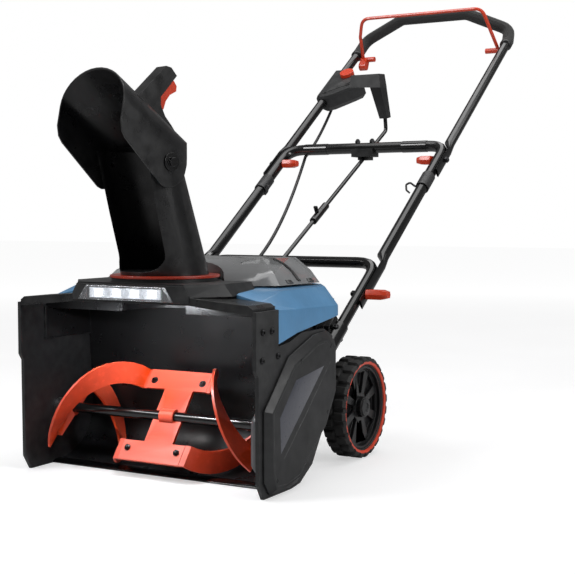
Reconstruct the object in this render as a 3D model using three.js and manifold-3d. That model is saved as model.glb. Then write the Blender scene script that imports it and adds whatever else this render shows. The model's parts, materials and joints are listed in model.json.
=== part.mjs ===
// Single stage snowblower with a crank-turned chute and a two-joint folding handle.
//
// Millimetres. +Z is up, the auger mouth faces -Y and the operator stands at +Y.
// "Left" is the operator's left, which is +X. Parts are laid out from the front edge of
// the auger housing (y = 0) and the whole machine is moved so that the origin lies on the
// ground under the middle of its length.

import * as THREE from 'three';
import { mergeVertices } from 'three/addons/utils/BufferGeometryUtils.js';
import Module from 'manifold-3d';

const wasm = await Module();
wasm.setup();

// ---------------------------------------------------------------- driving dimensions

const GAP = 0.3; // clearance between touching pieces
const MIDDLE_Y = 613.07; // half of the machine's length, from the chute's lip to the grip

const HOUSING_HALF_WIDTH = 240;
const PLATE_THICKNESS = 6.5;
const INNER_HALF_WIDTH = HOUSING_HALF_WIDTH - PLATE_THICKNESS - GAP;
const WALL = 4;

const AUGER = { y: 100, z: 100, radius: 88, shaftRadius: 9 };
const MOTOR = { y: 222, z: 200, canRadius: 29, shaftRadius: 4, pulleyRadius: 11 };
const BELT = { low: 241.2, high: 249.2, thickness: 2.5, bigRadius: 58 };

const CHUTE = {
  y: 100, deckTop: 333, rimTop: 338.5, ringTop: 343.5, radius: 74.6, topRadius: 71.4, topZ: 550,
};
const CHUTE_TURN = THREE.MathUtils.degToRad(15);
const CHUTE_LEAN = Math.tan(THREE.MathUtils.degToRad(17));
const DEFLECTOR_PIVOT = { f: 57, z: 528 };

const AXLE = { y: 396, z: 92.6, radius: 6 };
const WHEEL = { radius: 92.6, width: 47, outerFace: 237.7, rimRadius: 76 };

// The handle's legs lie in one sloping plane; "s" runs up that slope from FOLD.
const SLOPE = THREE.MathUtils.degToRad(35.55);
const FOLD = { y: 457, z: 295.2 };
const UPPER_FOLD_S = 458;
const TUBE_RADIUS = 12;
const LOWER_TUBE_RADIUS = 11;
const UPPER_TUBE_RADIUS = 11;
const TUBE_CLEARANCE = 0.8; // round a tube that is drawn with flat sides

const CRANK = { y: 504, z: 357, slope: THREE.MathUtils.degToRad(30.4), radius: 4.5, splitS: 186 };

// ---------------------------------------------------------------- materials

/** A plain finish: colour, roughness and metalness. */
function finish(color, roughness, metalness = 0) {
  return new THREE.MeshStandardMaterial({ color, roughness, metalness });
}

const BLACK_PLASTIC = finish(0x1b1b1d, 0.55);
const DARK_PLASTIC = finish(0x2b2c2f, 0.6);
const GREY_PLASTIC = finish(0x55575a, 0.6);
const BLUE_PLASTIC = finish(0x5a96c3, 0.45);
const AUGER_RED = finish(0xe8431c, 0.5);
const ORANGE_PLASTIC = finish(0xeb5a46, 0.45);
const SMOKED_PLASTIC = finish(0x6e7072, 0.2);
const CLEAR_PLASTIC = finish(0xf2f6ff, 0.15);
const BLACK_PAINT = finish(0x151516, 0.3, 0.3);
const STEEL = finish(0x8d9094, 0.35, 1);
const RUBBER = finish(0x161616, 0.85);
const FOAM = finish(0x1a1a1a, 0.95);
const BOARD_GREEN = finish(0x23553a, 0.6);

// ---------------------------------------------------------------- geometry helpers

/** Flips a closed triangle mesh whose faces point inwards. */
function facingOut(geometry) {
  const merged = geometry.index ? geometry.toNonIndexed() : geometry;
  const p = merged.attributes.position;
  const a = new THREE.Vector3();
  const b = new THREE.Vector3();
  const c = new THREE.Vector3();
  let volume = 0;
  for (let i = 0; i < p.count; i += 3) {
    a.fromBufferAttribute(p, i);
    b.fromBufferAttribute(p, i + 1);
    c.fromBufferAttribute(p, i + 2);
    volume += a.dot(b.cross(c));
  }
  if (volume < 0) {
    for (let i = 0; i < p.count; i += 3) {
      a.fromBufferAttribute(p, i + 1);
      b.fromBufferAttribute(p, i + 2);
      p.setXYZ(i + 1, b.x, b.y, b.z);
      p.setXYZ(i + 2, a.x, a.y, a.z);
    }
  }
  return merged;
}

/** Turns a closed three.js geometry into a solid that can be cut and joined. */
function solid(geometry) {
  const bare = facingOut(geometry.clone());
  bare.deleteAttribute('normal');
  bare.deleteAttribute('uv');
  const merged = mergeVertices(bare, 1e-3);
  return new wasm.Manifold(new wasm.Mesh({
    numProp: 3,
    vertProperties: new Float32Array(merged.attributes.position.array),
    triVerts: new Uint32Array(merged.index.array),
  }));
}

/** Turns a solid back into a three.js geometry. */
function geometryOf(body) {
  const mesh = body.getMesh();
  const geometry = new THREE.BufferGeometry();
  geometry.setAttribute('position', new THREE.BufferAttribute(mesh.vertProperties, 3));
  geometry.setIndex(new THREE.BufferAttribute(mesh.triVerts, 1));
  geometry.computeVertexNormals();
  return geometry;
}

function join(...bodies) {
  return bodies.reduce((whole, body) => whole.add(body));
}

function cut(body, ...tools) {
  return tools.reduce((rest, tool) => rest.subtract(tool), body);
}

/** A box from its low corner to its high corner. */
function box([x0, y0, z0], [x1, y1, z1]) {
  const geometry = new THREE.BoxGeometry(x1 - x0, y1 - y0, z1 - z0);
  return solid(geometry.translate((x0 + x1) / 2, (y0 + y1) / 2, (z0 + z1) / 2));
}

function outline(points) {
  return new THREE.Shape(points.map(([u, v]) => new THREE.Vector2(u, v)));
}

function extruded(points, depth) {
  return new THREE.ExtrudeGeometry(outline(points), { depth, bevelEnabled: false, steps: 1 });
}

const AXIS_X = new THREE.Vector3(1, 0, 0);
const AXIS_Y = new THREE.Vector3(0, 1, 0);
const AXIS_Z = new THREE.Vector3(0, 0, 1);

/** A (y, z) outline made into a prism that runs along X. */
function prismX(points, low, high) {
  const turn = new THREE.Matrix4().makeBasis(AXIS_Y, AXIS_Z, AXIS_X);
  return solid(extruded(points, high - low).applyMatrix4(turn).translate(low, 0, 0));
}

/** An (x, z) outline made into a prism that runs along Y. */
function prismY(points, low, high) {
  const turn = new THREE.Matrix4().makeBasis(AXIS_X, AXIS_Z, AXIS_Y.clone().negate());
  return solid(extruded(points, high - low).applyMatrix4(turn).translate(0, high, 0));
}

/** An (x, y) outline made into a prism that runs along Z. */
function prismZ(points, low, high) {
  return solid(extruded(points, high - low).translate(0, 0, low));
}

/** Points of an arc, in degrees, measured in the outline's own plane. */
function arc(centre, radius, from, to, steps) {
  return Array.from({ length: steps + 1 }, (_, i) => {
    const angle = THREE.MathUtils.degToRad(from + ((to - from) * i) / steps);
    return [centre[0] + radius * Math.cos(angle), centre[1] + radius * Math.sin(angle)];
  });
}

function circle(centre, radius, steps) {
  return arc(centre, radius, 0, 360 - 360 / steps, steps - 1);
}

/** A round bar along X. */
function barX(radius, low, high, y, z, sides = 20) {
  return prismX(circle([y, z], radius, sides), low, high);
}

/** A round bar along Z. */
function barZ(radius, low, high, x, y, sides = 32) {
  return prismZ(circle([x, y], radius, sides), low, high);
}

/** The loop that a flat belt makes round two circles, as an outline of (y, z) points. */
function beltLoop(big, small, grow, steps = 14) {
  const dy = small.y - big.y;
  const dz = small.z - big.z;
  const heading = THREE.MathUtils.radToDeg(Math.atan2(dz, dy));
  const lean = THREE.MathUtils.radToDeg(Math.acos((big.radius - small.radius) / Math.hypot(dy, dz)));
  return [
    ...arc([small.y, small.z], small.radius + grow, heading - lean, heading + lean, steps),
    ...arc([big.y, big.z], big.radius + grow, heading + lean, heading + 360 - lean, 2 * steps),
  ];
}

/** A closed skin through rings of points; every ring has the same count and is convex. */
function loft(rings) {
  const count = rings[0].length;
  const points = rings.flat();
  const faces = [];
  for (let r = 0; r + 1 < rings.length; r += 1) {
    for (let i = 0; i < count; i += 1) {
      const a = r * count + i;
      const b = r * count + ((i + 1) % count);
      faces.push(a, b, b + count, a, b + count, a + count);
    }
  }
  const last = (rings.length - 1) * count;
  for (let i = 1; i + 1 < count; i += 1) {
    faces.push(0, i + 1, i);
    faces.push(last, last + i, last + i + 1);
  }
  const geometry = new THREE.BufferGeometry();
  geometry.setAttribute('position', new THREE.Float32BufferAttribute(points.flat(), 3));
  geometry.setIndex(faces);
  return solid(geometry);
}

/** Moves every point of an outline towards its middle by about the given distance. */
function inset(points, distance) {
  const mid = points.reduce((sum, p) => sum.map((v, i) => v + p[i] / points.length), [0, 0]);
  return points.map(([u, v]) => {
    const reach = Math.hypot(u - mid[0], v - mid[1]);
    const keep = (reach - distance) / reach;
    return [mid[0] + (u - mid[0]) * keep, mid[1] + (v - mid[1]) * keep];
  });
}

/** A tube's centre line: straight runs joined by round bends, with a ring at each listed point. */
class BentLine extends THREE.Curve {
  constructor(corners, bendRadius, bendSteps) {
    super();
    this.points = [corners[0]];
    for (let i = 1; i + 1 < corners.length; i += 1) {
      this.addBend(corners[i - 1], corners[i], corners[i + 1], bendRadius, bendSteps);
    }
    this.points.push(corners[corners.length - 1]);
  }

  addBend(before, corner, after, bendRadius, bendSteps) {
    const back = before.clone().sub(corner).normalize();
    const ahead = after.clone().sub(corner).normalize();
    const turn = Math.PI - back.angleTo(ahead);
    if (turn < 0.4) {
      this.points.push(corner);
      return;
    }
    const reach = bendRadius * Math.tan(turn / 2);
    const curve = new THREE.QuadraticBezierCurve3(
      corner.clone().addScaledVector(back, reach),
      corner,
      corner.clone().addScaledVector(ahead, reach),
    );
    this.points.push(...curve.getPoints(Math.max(2, Math.ceil((bendSteps * turn) / (Math.PI / 2)))));
  }

  getPointAt(t) {
    return this.points[Math.round(t * (this.points.length - 1))].clone();
  }

  getTangentAt(t) {
    const i = Math.round(t * (this.points.length - 1));
    const from = this.points[Math.max(0, i - 1)];
    const to = this.points[Math.min(this.points.length - 1, i + 1)];
    const here = this.points[i];
    const arriving = here.clone().sub(from).normalize();
    const leaving = to.clone().sub(here).normalize();
    return arriving.add(leaving).normalize();
  }
}

/** A round tube or wire along a bent line. */
function bentBar(corners, radius, bendRadius, sides = 12, bendSteps = 6) {
  const line = new BentLine(corners, bendRadius, bendSteps);
  return facingOut(new THREE.ExtrudeGeometry(outline(circle([0, 0], radius, sides)), {
    steps: line.points.length - 1,
    extrudePath: line,
    bevelEnabled: false,
  }));
}

const v3 = (x, y, z) => new THREE.Vector3(x, y, z);

/** A point on the handle: side to side, up the slope from the fold, and off the slope's plane. */
function onHandle(x, s, lift = 0) {
  return v3(
    x,
    FOLD.y + s * Math.cos(SLOPE) - lift * Math.sin(SLOPE),
    FOLD.z + s * Math.sin(SLOPE) + lift * Math.cos(SLOPE),
  );
}

/** How far up the handle's slope a point lies. */
function slopeOf(p) {
  return (p.y - FOLD.y) * Math.cos(SLOPE) + (p.z - FOLD.z) * Math.sin(SLOPE);
}

/** Presses a tube's legs flat over a stretch of the slope: their points move in X towards a thin slab. */
function pressFlat(geometry, { lowS, highS, from, to, ratio }) {
  const p = geometry.attributes.position;
  const here = new THREE.Vector3();
  for (let i = 0; i < p.count; i += 1) {
    here.fromBufferAttribute(p, i);
    const s = slopeOf(here);
    if (s < lowS || s > highS) continue;
    p.setX(i, Math.sign(here.x) * (to + (Math.abs(here.x) - from) * ratio));
  }
  return geometry;
}

/** A bar along X on one side of the machine, between two distances from the middle. */
function sideBar(side, radius, near, far, y, z, sides) {
  return side > 0 ? barX(radius, near, far, y, z, sides) : barX(radius, -far, -near, y, z, sides);
}

/** Space for a round tube along a line, with the usual clearance. */
function tubeRoom(line, radius) {
  return solid(bentBar(line, radius + TUBE_CLEARANCE, 10, 12));
}

/** Mirrors half an outline, given for +X, into a whole one. */
function bothSides(half) {
  return [...half, ...half.map(([x, v]) => [-x, v]).reverse()];
}

/** Mirrors a list of handle points given for the left leg into a whole U. */
function wholeU(leftLeg) {
  const rightLeg = leftLeg.map((p) => v3(-p.x, p.y, p.z)).reverse();
  return [...leftLeg, ...rightLeg];
}

const machine = new THREE.Group();
machine.position.y = -MIDDLE_Y;

/** Adds one named piece to a group; a solid or a geometry will do. */
function add(name, shape, material, group = machine) {
  const geometry = shape.isBufferGeometry ? shape : geometryOf(shape);
  const mesh = new THREE.Mesh(geometry, material);
  mesh.name = name;
  group.add(mesh);
}

// ---------------------------------------------------------------- auger housing

const SHELL_INNER_RADIUS = 94;
const CEILING_FRONT_DEPTH = 69.7; // the blue shroud covers the ceiling behind this
const THROAT_RADIUS = 71;

/** The blue shroud's outside, as a filled block. */
function shroudBlock(grow) {
  const sections = [
    { y: 70, peak: [155, 317], shoulder: [205, 305], edge: 293, low: 239 },
    { y: 130, peak: [160, 322], shoulder: [213, 320], edge: 291, low: 252 },
    { y: 275, peak: [160, 322], shoulder: [214, 320], edge: 288, low: 270 },
    { y: 340, peak: [140, 322], shoulder: [172, 320], edge: 290, low: 279, side: 196 },
  ];
  return loft(sections.map(({ y, peak, shoulder, edge, low, side = 240 }, i) => {
    const lengthwise = y + (i === 0 ? -grow : 0) + (i === sections.length - 1 ? grow : 0);
    const half = [
      [peak[0], peak[1] + grow],
      [shoulder[0] + grow / 2, shoulder[1] + grow],
      [side + grow, edge + grow / 2],
      [side + grow, grow < 0 ? low - 30 : low],
    ];
    const other = half.map(([x, z]) => [-x, z]).reverse();
    return [...half, ...other].map(([x, z]) => [x, lengthwise, z]);
  }));
}

/** The moulded scroll round the auger, with its crowned ceiling and the throat to the chute. */
function augerHousing() {
  const centre = [AUGER.y, AUGER.z];
  const scroll = prismX([
    ...arc(centre, SHELL_INNER_RADIUS, -90, 6, 12),
    [180, 284],
    [184.5, 284],
    ...arc(centre, SHELL_INNER_RADIUS + WALL, 6, -90, 12),
  ], -INNER_HALF_WIDTH, INNER_HALF_WIDTH);
  const crown = [
    [INNER_HALF_WIDTH, 288], [INNER_HALF_WIDTH, 298.4], [225.5, 304], [119, 312.5],
    [-119, 312.5], [-225.5, 304], [-INNER_HALF_WIDTH, 298.4], [-INNER_HALF_WIDTH, 288],
    [-115, 300], [115, 300],
  ];
  const brow = prismY(crown, 0, CEILING_FRONT_DEPTH);
  const ceiling = box([-INNER_HALF_WIDTH, CEILING_FRONT_DEPTH - 1, 280], [INNER_HALF_WIDTH, 184.5, 285]);
  const middle = box([-119, CEILING_FRONT_DEPTH - 1, 282], [119, 189, 312.5]);
  const lip = box(
    [-INNER_HALF_WIDTH, CEILING_FRONT_DEPTH - WALL, 280],
    [INNER_HALF_WIDTH, CEILING_FRONT_DEPTH, 300],
  );
  const cheeks = [-1, 1].map((side) => {
    const inner = side * (INNER_HALF_WIDTH - WALL);
    const outer = side * INNER_HALF_WIDTH;
    return box([Math.min(inner, outer), 60, 226], [Math.max(inner, outer), 187, 283]);
  });
  const throat = barZ(THROAT_RADIUS + 3, 260, 330, 0, CHUTE.y, 40);
  const pinionSlot = box([-14, 168, 297], [14, 200, 320]);
  return cut(join(scroll, brow, ceiling, middle, lip, ...cheeks), throat, pinionSlot);
}

/** One side wall. The left one reaches further back, because it also carries the motor. */
function sidePlate(side) {
  const rear = side > 0
    ? [[110, 0], [140, 4], [182, 28], [222, 84], [254, 140], [254, 238], [222, 252], [146, 252]]
    : [[110, 0], [138, 4], [176, 28], [198, 60], [203, 100], [203, 254], [146, 252]];
  const plate = prismX([
    [0, 294.3], [0, 204], [7, 193], [8, 25], [23, 0],
    ...rear,
    [106, 240], [CEILING_FRONT_DEPTH, 236], [CEILING_FRONT_DEPTH, 294.3],
  ], HOUSING_HALF_WIDTH - PLATE_THICKNESS, HOUSING_HALF_WIDTH);
  const chamfer = prismY([
    [HOUSING_HALF_WIDTH - PLATE_THICKNESS - 1, 300], [HOUSING_HALF_WIDTH + 1, 300],
    [HOUSING_HALF_WIDTH + 1, 293.2], [HOUSING_HALF_WIDTH - 0.5, 294.3],
  ], -1, 80);
  const trimmed = cut(
    plate,
    chamfer,
    barX(15.7, 230, 245, AUGER.y, AUGER.z),
    ...(side > 0 ? [barX(8, 230, 245, MOTOR.y, MOTOR.z)] : []),
  );
  return side > 0 ? trimmed : trimmed.mirror([1, 0, 0]);
}

function scraperBar() {
  const half = INNER_HALF_WIDTH;
  return prismX([
    [78, 0.5], [84, 0], [118, 0], [118, 1.6], [99.7, 1.6], [99.7, 6.6], [86, 6.6], [78, 3],
  ], -half, half);
}

const COVER_BASE = [
  [19, 28], [19, 139], [97, 217], [180, 245], [222, 248], [255, 229],
  [255, 140], [217, 82], [165, 46], [122, 8], [70, 1.5], [35, 6],
];
const COVER_FACE = [
  [31, 38], [29, 136], [98, 203], [181, 233], [214, 236], [243, 219],
  [243, 145], [208, 91], [157, 56], [116, 20], [72, 12], [42, 14],
];

/** Faceted cover over the belt, on the left side plate. */
function beltCover() {
  const base = HOUSING_HALF_WIDTH + GAP;
  const face = 252.5;
  const outside = loft([
    COVER_BASE.map(([y, z]) => [base, y, z]),
    COVER_BASE.map(([y, z]) => [base + 3, y, z]),
    COVER_FACE.map(([y, z]) => [face, y, z]),
  ]);
  const inside = loft([
    inset(COVER_BASE, 3).map(([y, z]) => [base - 1, y, z]),
    inset(COVER_BASE, 3).map(([y, z]) => [base + 2.5, y, z]),
    inset(COVER_FACE, 1.5).map(([y, z]) => [face - 2, y, z]),
  ]);
  return cut(outside, inside);
}

/** Faceted pod inside the mouth that guards the left end of the auger. */
function bearingGuard() {
  const ring = [[12, 48], [12, 124], [34, 148], [122, 156], [160, 130], [160, 62], [122, 30], [34, 26]];
  const base = INNER_HALF_WIDTH + GAP - 0.1;
  const pod = loft([
    ring.map(([y, z]) => [base, y, z]),
    ring.map(([y, z]) => [base - 6, y, z]),
    inset(ring, 9).map(([y, z]) => [base - 15, y, z]),
  ]);
  return cut(pod, barX(16, 200, 240, AUGER.y, AUGER.z));
}

// ---------------------------------------------------------------- deck, lamp and shroud

const DECK_BASE = [[119, 0], [160, 60], [160, 136], [-160, 136], [-160, 60], [-119, 0]];
const DECK_TOP = [[106, 0], [149, 52], [149, 136], [-149, 136], [-149, 52], [-106, 0]];

/** The raised deck that carries the chute, with the lamp's pod on its front edge. */
function chuteDeck() {
  const floor = 312.5 + GAP;
  const plinth = loft([
    DECK_BASE.map(([x, y]) => [x, y, floor]),
    DECK_TOP.map(([x, y]) => [x, y, CHUTE.deckTop]),
  ]);
  const collar = barZ(97, floor, CHUTE.deckTop, 0, CHUTE.y, 36);
  const rim = barZ(90.5, floor, CHUTE.rimTop, 0, CHUTE.y, 36);
  const podRing = (y, outline) => bothSides(outline).map(([x, z]) => [x, y, z]);
  const pod = loft([
    podRing(0.5, [[117, 303], [117, 316], [108, 331]]),
    podRing(-1, [[117, 303], [117, 316], [108, 331]]),
    podRing(-11, [[97, 304], [97, 309], [80, 330]]),
  ]);
  const aboveBrow = box([-130, -GAP, 290], [130, 3, floor]);
  const lampBay = box([-75, -12, 307.5], [75, -4, 326]);
  return cut(
    join(cut(pod, aboveBrow), plinth, collar, rim),
    lampBay,
    barZ(THROAT_RADIUS, 290, 340, 0, CHUTE.y, 36),
    cut(barZ(88, 321, 340, 0, CHUTE.y, 36), barZ(75, 321, 340, 0, CHUTE.y, 36)),
    box([-14, 168, 297], [14, 200, 326]),
  );
}

function headlightLens() {
  const front = [[92.5, 306], [77, 328], [-77, 328], [-92.5, 306]];
  const back = [[94, 305], [78.5, 329], [-78.5, 329], [-94, 305]];
  return loft([
    back.map(([x, z]) => [x, -11 - GAP, z]),
    front.map(([x, z]) => [x, -17, z]),
  ]);
}

function ledBoard() {
  const board = box([-73, -6.5, 309], [73, -4 - GAP, 325]);
  const lamps = [-55, -33, -11, 11, 33, 55].map((x) => box([x - 5, -8, 312], [x + 5, -6.4, 322]));
  return join(board, ...lamps);
}

const BAY = { x: 150, front: 206, back: 322 };

/** The blue shroud over the motor and the battery bay. */
function shroud() {
  const outside = shroudBlock(0);
  const inside = shroudBlock(-3);
  const deckRoom = prismZ([[161, 55], [161, 139], [-161, 139], [-161, 55]], 200, 340);
  const ringRoom = barZ(101, 200, 340, 0, CHUTE.y, 36);
  const bay = box([-BAY.x, BAY.front, 300], [BAY.x, BAY.back, 340]);
  const housingRoom = box([-INNER_HALF_WIDTH - GAP, 60, 200], [INNER_HALF_WIDTH + GAP, 190, 285 + GAP]);
  const shaftSlot = box([-13, BAY.back, 296], [13, 350, 330]);
  return cut(outside, inside, deckRoom, ringRoom, bay, housingRoom, shaftSlot);
}

// ---------------------------------------------------------------- battery bay and lid

/** Open-topped tray with one well for each battery pack, either side of the chute's shaft. */
function batteryTray() {
  const { x, front, back } = BAY;
  const outside = box([-x + 1, front + 1, 250], [x - 1, back - 1, 320]);
  const wells = [-1, 1].map((side) => {
    const near = side * 16;
    const far = side * (x - 4);
    return box([Math.min(near, far), front + 4, 253], [Math.max(near, far), back - 4, 330]);
  });
  const shaftChannel = box([-13, front - 5, 296], [13, back + 5, 330]);
  const terminalSlot = box([-90, front + 3, 260], [90, front + 7, 272]);
  return cut(outside, ...wells, shaftChannel, terminalSlot);
}

/** Contact strip with one terminal block in each battery well. */
function terminalBoard() {
  const wall = BAY.front + 1;
  const strip = box([-89, wall + 3.3, 260.5], [89, wall + 5.2, 271.5]);
  const blocks = [-80, 80].map((x) => {
    const body = box([x - 9, wall + 4.3, 254], [x + 9, wall + 17, 290]);
    const blades = [x - 5, x, x + 5].map((middle) => (
      box([middle - 1.2, wall + 16, 258], [middle + 1.2, wall + 24, 282])
    ));
    return join(body, ...blades);
  });
  return join(strip, ...blocks);
}

const LID = { base: 325, top: 368, hingeY: 329, hingeZ: 330 };

/** Faceted smoked lid over both battery wells, hollow underneath. */
function lidShell() {
  const foot = bothSides([[150, 146], [184, 170], [193, 296], [172, 326]]);
  const brow = bothSides([[138, 163], [166, 182], [172, 286], [160, 324]]);
  const crest = bothSides([[86, 214], [118, 222], [140, 280], [132, 318]]);
  const shell = (drop, shrink) => loft([
    inset(foot, shrink).map(([x, y]) => [x, y, LID.base - (drop ? 1 : 0)]),
    inset(brow, shrink).map(([x, y]) => [x, y, 345 - drop]),
    inset(crest, shrink).map(([x, y]) => [x, y, LID.top - drop]),
  ]);
  const ringRoom = barZ(100, 300, 400, 0, CHUTE.y, 36);
  const ringWall = barZ(103, 300, 400, 0, CHUTE.y, 36);
  const outside = cut(shell(0, 0), ringRoom);
  const inside = cut(shell(3, 3), ringWall);
  const hinge = [-60, 60].map((x) => barX(5, x - 18, x + 18, LID.hingeY, LID.hingeZ));
  return cut(join(cut(outside, inside), ...hinge), barX(2.3, -90, 90, LID.hingeY, LID.hingeZ, 16));
}

function lidHingePin() {
  return barX(2, -88, 88, LID.hingeY, LID.hingeZ, 16);
}

// ---------------------------------------------------------------- rear case and drive

/** Tub behind the scroll that holds the motor, the controller and the battery tray. */
function rearCase() {
  const profile = (top) => [
    [201, 150], [258, 132], [330, 190], [400, 232], [400, top], [346, top], [346, 276], [201, 246],
  ];
  const inside = (top) => [
    [204, 153], [257, 136], [328, 193.5], [397, 235], [397, top - 4], [349, top - 4], [349, 340], [200, 340],
  ];
  const ridge = { half: 60, top: 318 }; // over the transfer shaft
  const tub = cut(
    join(prismX(profile(290), -168, 168), prismX(profile(ridge.top), -ridge.half, ridge.half)),
    prismX(inside(290), -165, 165),
    prismX(inside(ridge.top), 3 - ridge.half, ridge.half - 3),
  );
  const boss = box([-22, 392, 284], [22, 414, 330]);
  return cut(
    join(tub, boss),
    barX(MOTOR.canRadius + 1, 100, 170, MOTOR.y, MOTOR.z),
    prismY(circle([0, 308], 14, 20), 342, 430),
  );
}

function motorCan() {
  const { y, z, canRadius } = MOTOR;
  const can = join(
    barX(canRadius, 124, 216, y, z, 32),
    barX(canRadius - 6, 118, 233.2, y, z, 32),
  );
  return cut(can, barX(MOTOR.shaftRadius + GAP, 110, 240, y, z, 16));
}

/** Motor shaft with its toothed pulley. */
function motorRotor() {
  const { y, z, shaftRadius, pulleyRadius } = MOTOR;
  return join(
    barX(shaftRadius, 112, 249.6, y, z, 16),
    barX(pulleyRadius, BELT.low + 0.2, BELT.high - 0.2, y, z, 24),
  );
}

function augerPulley() {
  const disc = barX(BELT.bigRadius, BELT.low + 0.2, BELT.high - 0.2, AUGER.y, AUGER.z, 40);
  const holes = [30, 90, 150, 210, 270, 330].map((angle) => {
    const [[y, z]] = arc([AUGER.y, AUGER.z], 36, angle, angle, 1);
    return barX(12, 240, 250, y, z, 10);
  });
  return cut(disc, ...holes, barX(AUGER.shaftRadius + 0.2, 240, 250, AUGER.y, AUGER.z));
}

function driveBelt() {
  const big = { y: AUGER.y, z: AUGER.z, radius: BELT.bigRadius };
  const small = { y: MOTOR.y, z: MOTOR.z, radius: MOTOR.pulleyRadius };
  const outside = prismX(beltLoop(big, small, GAP + BELT.thickness), BELT.low, BELT.high);
  const inside = prismX(beltLoop(big, small, GAP), BELT.low - 1, BELT.high + 1);
  return cut(outside, inside);
}

/** Controller board on four posts in the rear case. */
function controllerBoard() {
  const board = box([-120, 350.5, 236], [-20, 352.5, 284]);
  const heatSink = box([-110, 352.4, 242], [-60, 364, 281]);
  const capacitors = [-48, -34].map((x) => box([x - 5, 352.4, 250], [x + 5, 368, 260]));
  return join(board, heatSink, ...capacitors);
}

function augerBearing(side) {
  const ring = barX(15.4, 226, 240, AUGER.y, AUGER.z, 28);
  const body = cut(ring, barX(AUGER.shaftRadius + 0.3, 220, 245, AUGER.y, AUGER.z));
  return side > 0 ? body : body.mirror([1, 0, 0]);
}

// ---------------------------------------------------------------- auger

const PADDLE_ANGLE = 53; // the centre paddle's plane, in degrees round the auger's axis
const FLIGHT = { inner: 50, start: 62.5, tabEnd: 71, end: 206, sweep: 172, thickness: 4.5 };

function augerShaft() {
  return barX(AUGER.shaftRadius, -239, 249.4, AUGER.y, AUGER.z);
}

/** A point on the auger: along its axis, out from it, and round it in degrees. */
function onAuger(x, radius, degrees) {
  const angle = THREE.MathUtils.degToRad(degrees);
  return v3(x, AUGER.y + radius * Math.cos(angle), AUGER.z + radius * Math.sin(angle));
}

/** Two T-shaped blades in one plane through the shaft, on a sleeve. */
function centrePaddle() {
  const blade = (turn) => {
    const flat = prismX([[8, -2.5], [52, -2.5], [52, 2.5], [8, 2.5]], -22, 36);
    const bar = prismX([[51, -2.5], [AUGER.radius, -2.5], [AUGER.radius, 2.5], [51, 2.5]], -62, 62);
    return join(flat, bar).rotate([turn, 0, 0]);
  };
  const sleeve = barX(13, -7, 21, 0, 0, 24);
  const whole = join(sleeve, blade(PADDLE_ANGLE), blade(PADDLE_ANGLE + 180))
    .translate([0, AUGER.y, AUGER.z]);
  return cut(whole, barX(AUGER.shaftRadius + GAP, -80, 80, AUGER.y, AUGER.z));
}

/** One helical ribbon from the centre paddle out to the end of the auger. */
function flightRibbon(side, startAngle, steps = 18) {
  const rings = [];
  for (let i = 0; i <= steps; i += 1) {
    const u = Math.max(0, (i - 1) / (steps - 1));
    const x = i === 0 ? FLIGHT.start : FLIGHT.tabEnd + u * (FLIGHT.end - FLIGHT.tabEnd);
    const angle = startAngle + u * FLIGHT.sweep;
    const turnPerMm = i === 0 ? 0 : THREE.MathUtils.degToRad(FLIGHT.sweep) / (FLIGHT.end - FLIGHT.tabEnd);
    const tangent = v3(side, 0, 0).add(onAuger(0, 70 * turnPerMm, angle + 90).sub(v3(0, AUGER.y, AUGER.z)));
    const radial = onAuger(0, 1, angle).sub(v3(0, AUGER.y, AUGER.z));
    const normal = tangent.cross(radial).normalize().multiplyScalar(FLIGHT.thickness / 2);
    const inner = onAuger(side * x, FLIGHT.inner, angle);
    const outer = onAuger(side * x, AUGER.radius, angle);
    rings.push([
      inner.clone().add(normal), outer.clone().add(normal),
      outer.clone().sub(normal), inner.clone().sub(normal),
    ].map((p) => p.toArray()));
  }
  return loft(rings);
}

/** Both ribbons of one side, on an end hub with two arms. */
function augerFlight(side) {
  const hubAt = side * FLIGHT.end;
  const hub = barX(15, hubAt - 8, hubAt + 8, AUGER.y, AUGER.z);
  const arms = [0, 180].map((half) => {
    const arm = box([-6, 10, -9], [6, FLIGHT.inner + 8, 9]);
    const angle = PADDLE_ANGLE + FLIGHT.sweep + half - 4;
    return arm.rotate([angle, 0, 0]).translate([hubAt - side * 3, AUGER.y, AUGER.z]);
  });
  const ribbons = [0, 180].map((half) => flightRibbon(side, PADDLE_ANGLE + half));
  const bore = barX(AUGER.shaftRadius + GAP, -240, 240, AUGER.y, AUGER.z);
  return cut(join(hub, ...arms, ...ribbons), bore);
}

// ---------------------------------------------------------------- chute

const chuteGroup = new THREE.Group();
chuteGroup.position.set(0, CHUTE.y, 0);
chuteGroup.rotation.z = -CHUTE_TURN;
machine.add(chuteGroup);

/** Slants a shape forwards with height, from the chute's ring upwards. In this group -Y is ahead. */
function leaning(geometry) {
  const shear = new THREE.Matrix4().set(
    1, 0, 0, 0,
    0, 1, -CHUTE_LEAN, CHUTE_LEAN * CHUTE.ringTop,
    0, 0, 1, 0,
    0, 0, 0, 1,
  );
  return geometry.applyMatrix4(shear);
}

/** Turntable ring with its face gear, which the crank's pinion drives. */
function chuteRing() {
  const under = CHUTE.rimTop + GAP;
  const plate = barZ(93, under, CHUTE.ringTop - GAP, 0, 0, 36);
  const gear = barZ(86, 323, under + 1, 0, 0, 36);
  const gearBore = barZ(77, 320, under, 0, 0, 36);
  const neckOuter = barZ(THROAT_RADIUS - 1.5, 316, under + 1, 0, 0, 36);
  const throat = barZ(THROAT_RADIUS - 5, 300, 360, 0, 0, 36);
  return cut(join(plate, cut(gear, gearBore), neckOuter), throat);
}

const EAR_FACE = 80;

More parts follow.
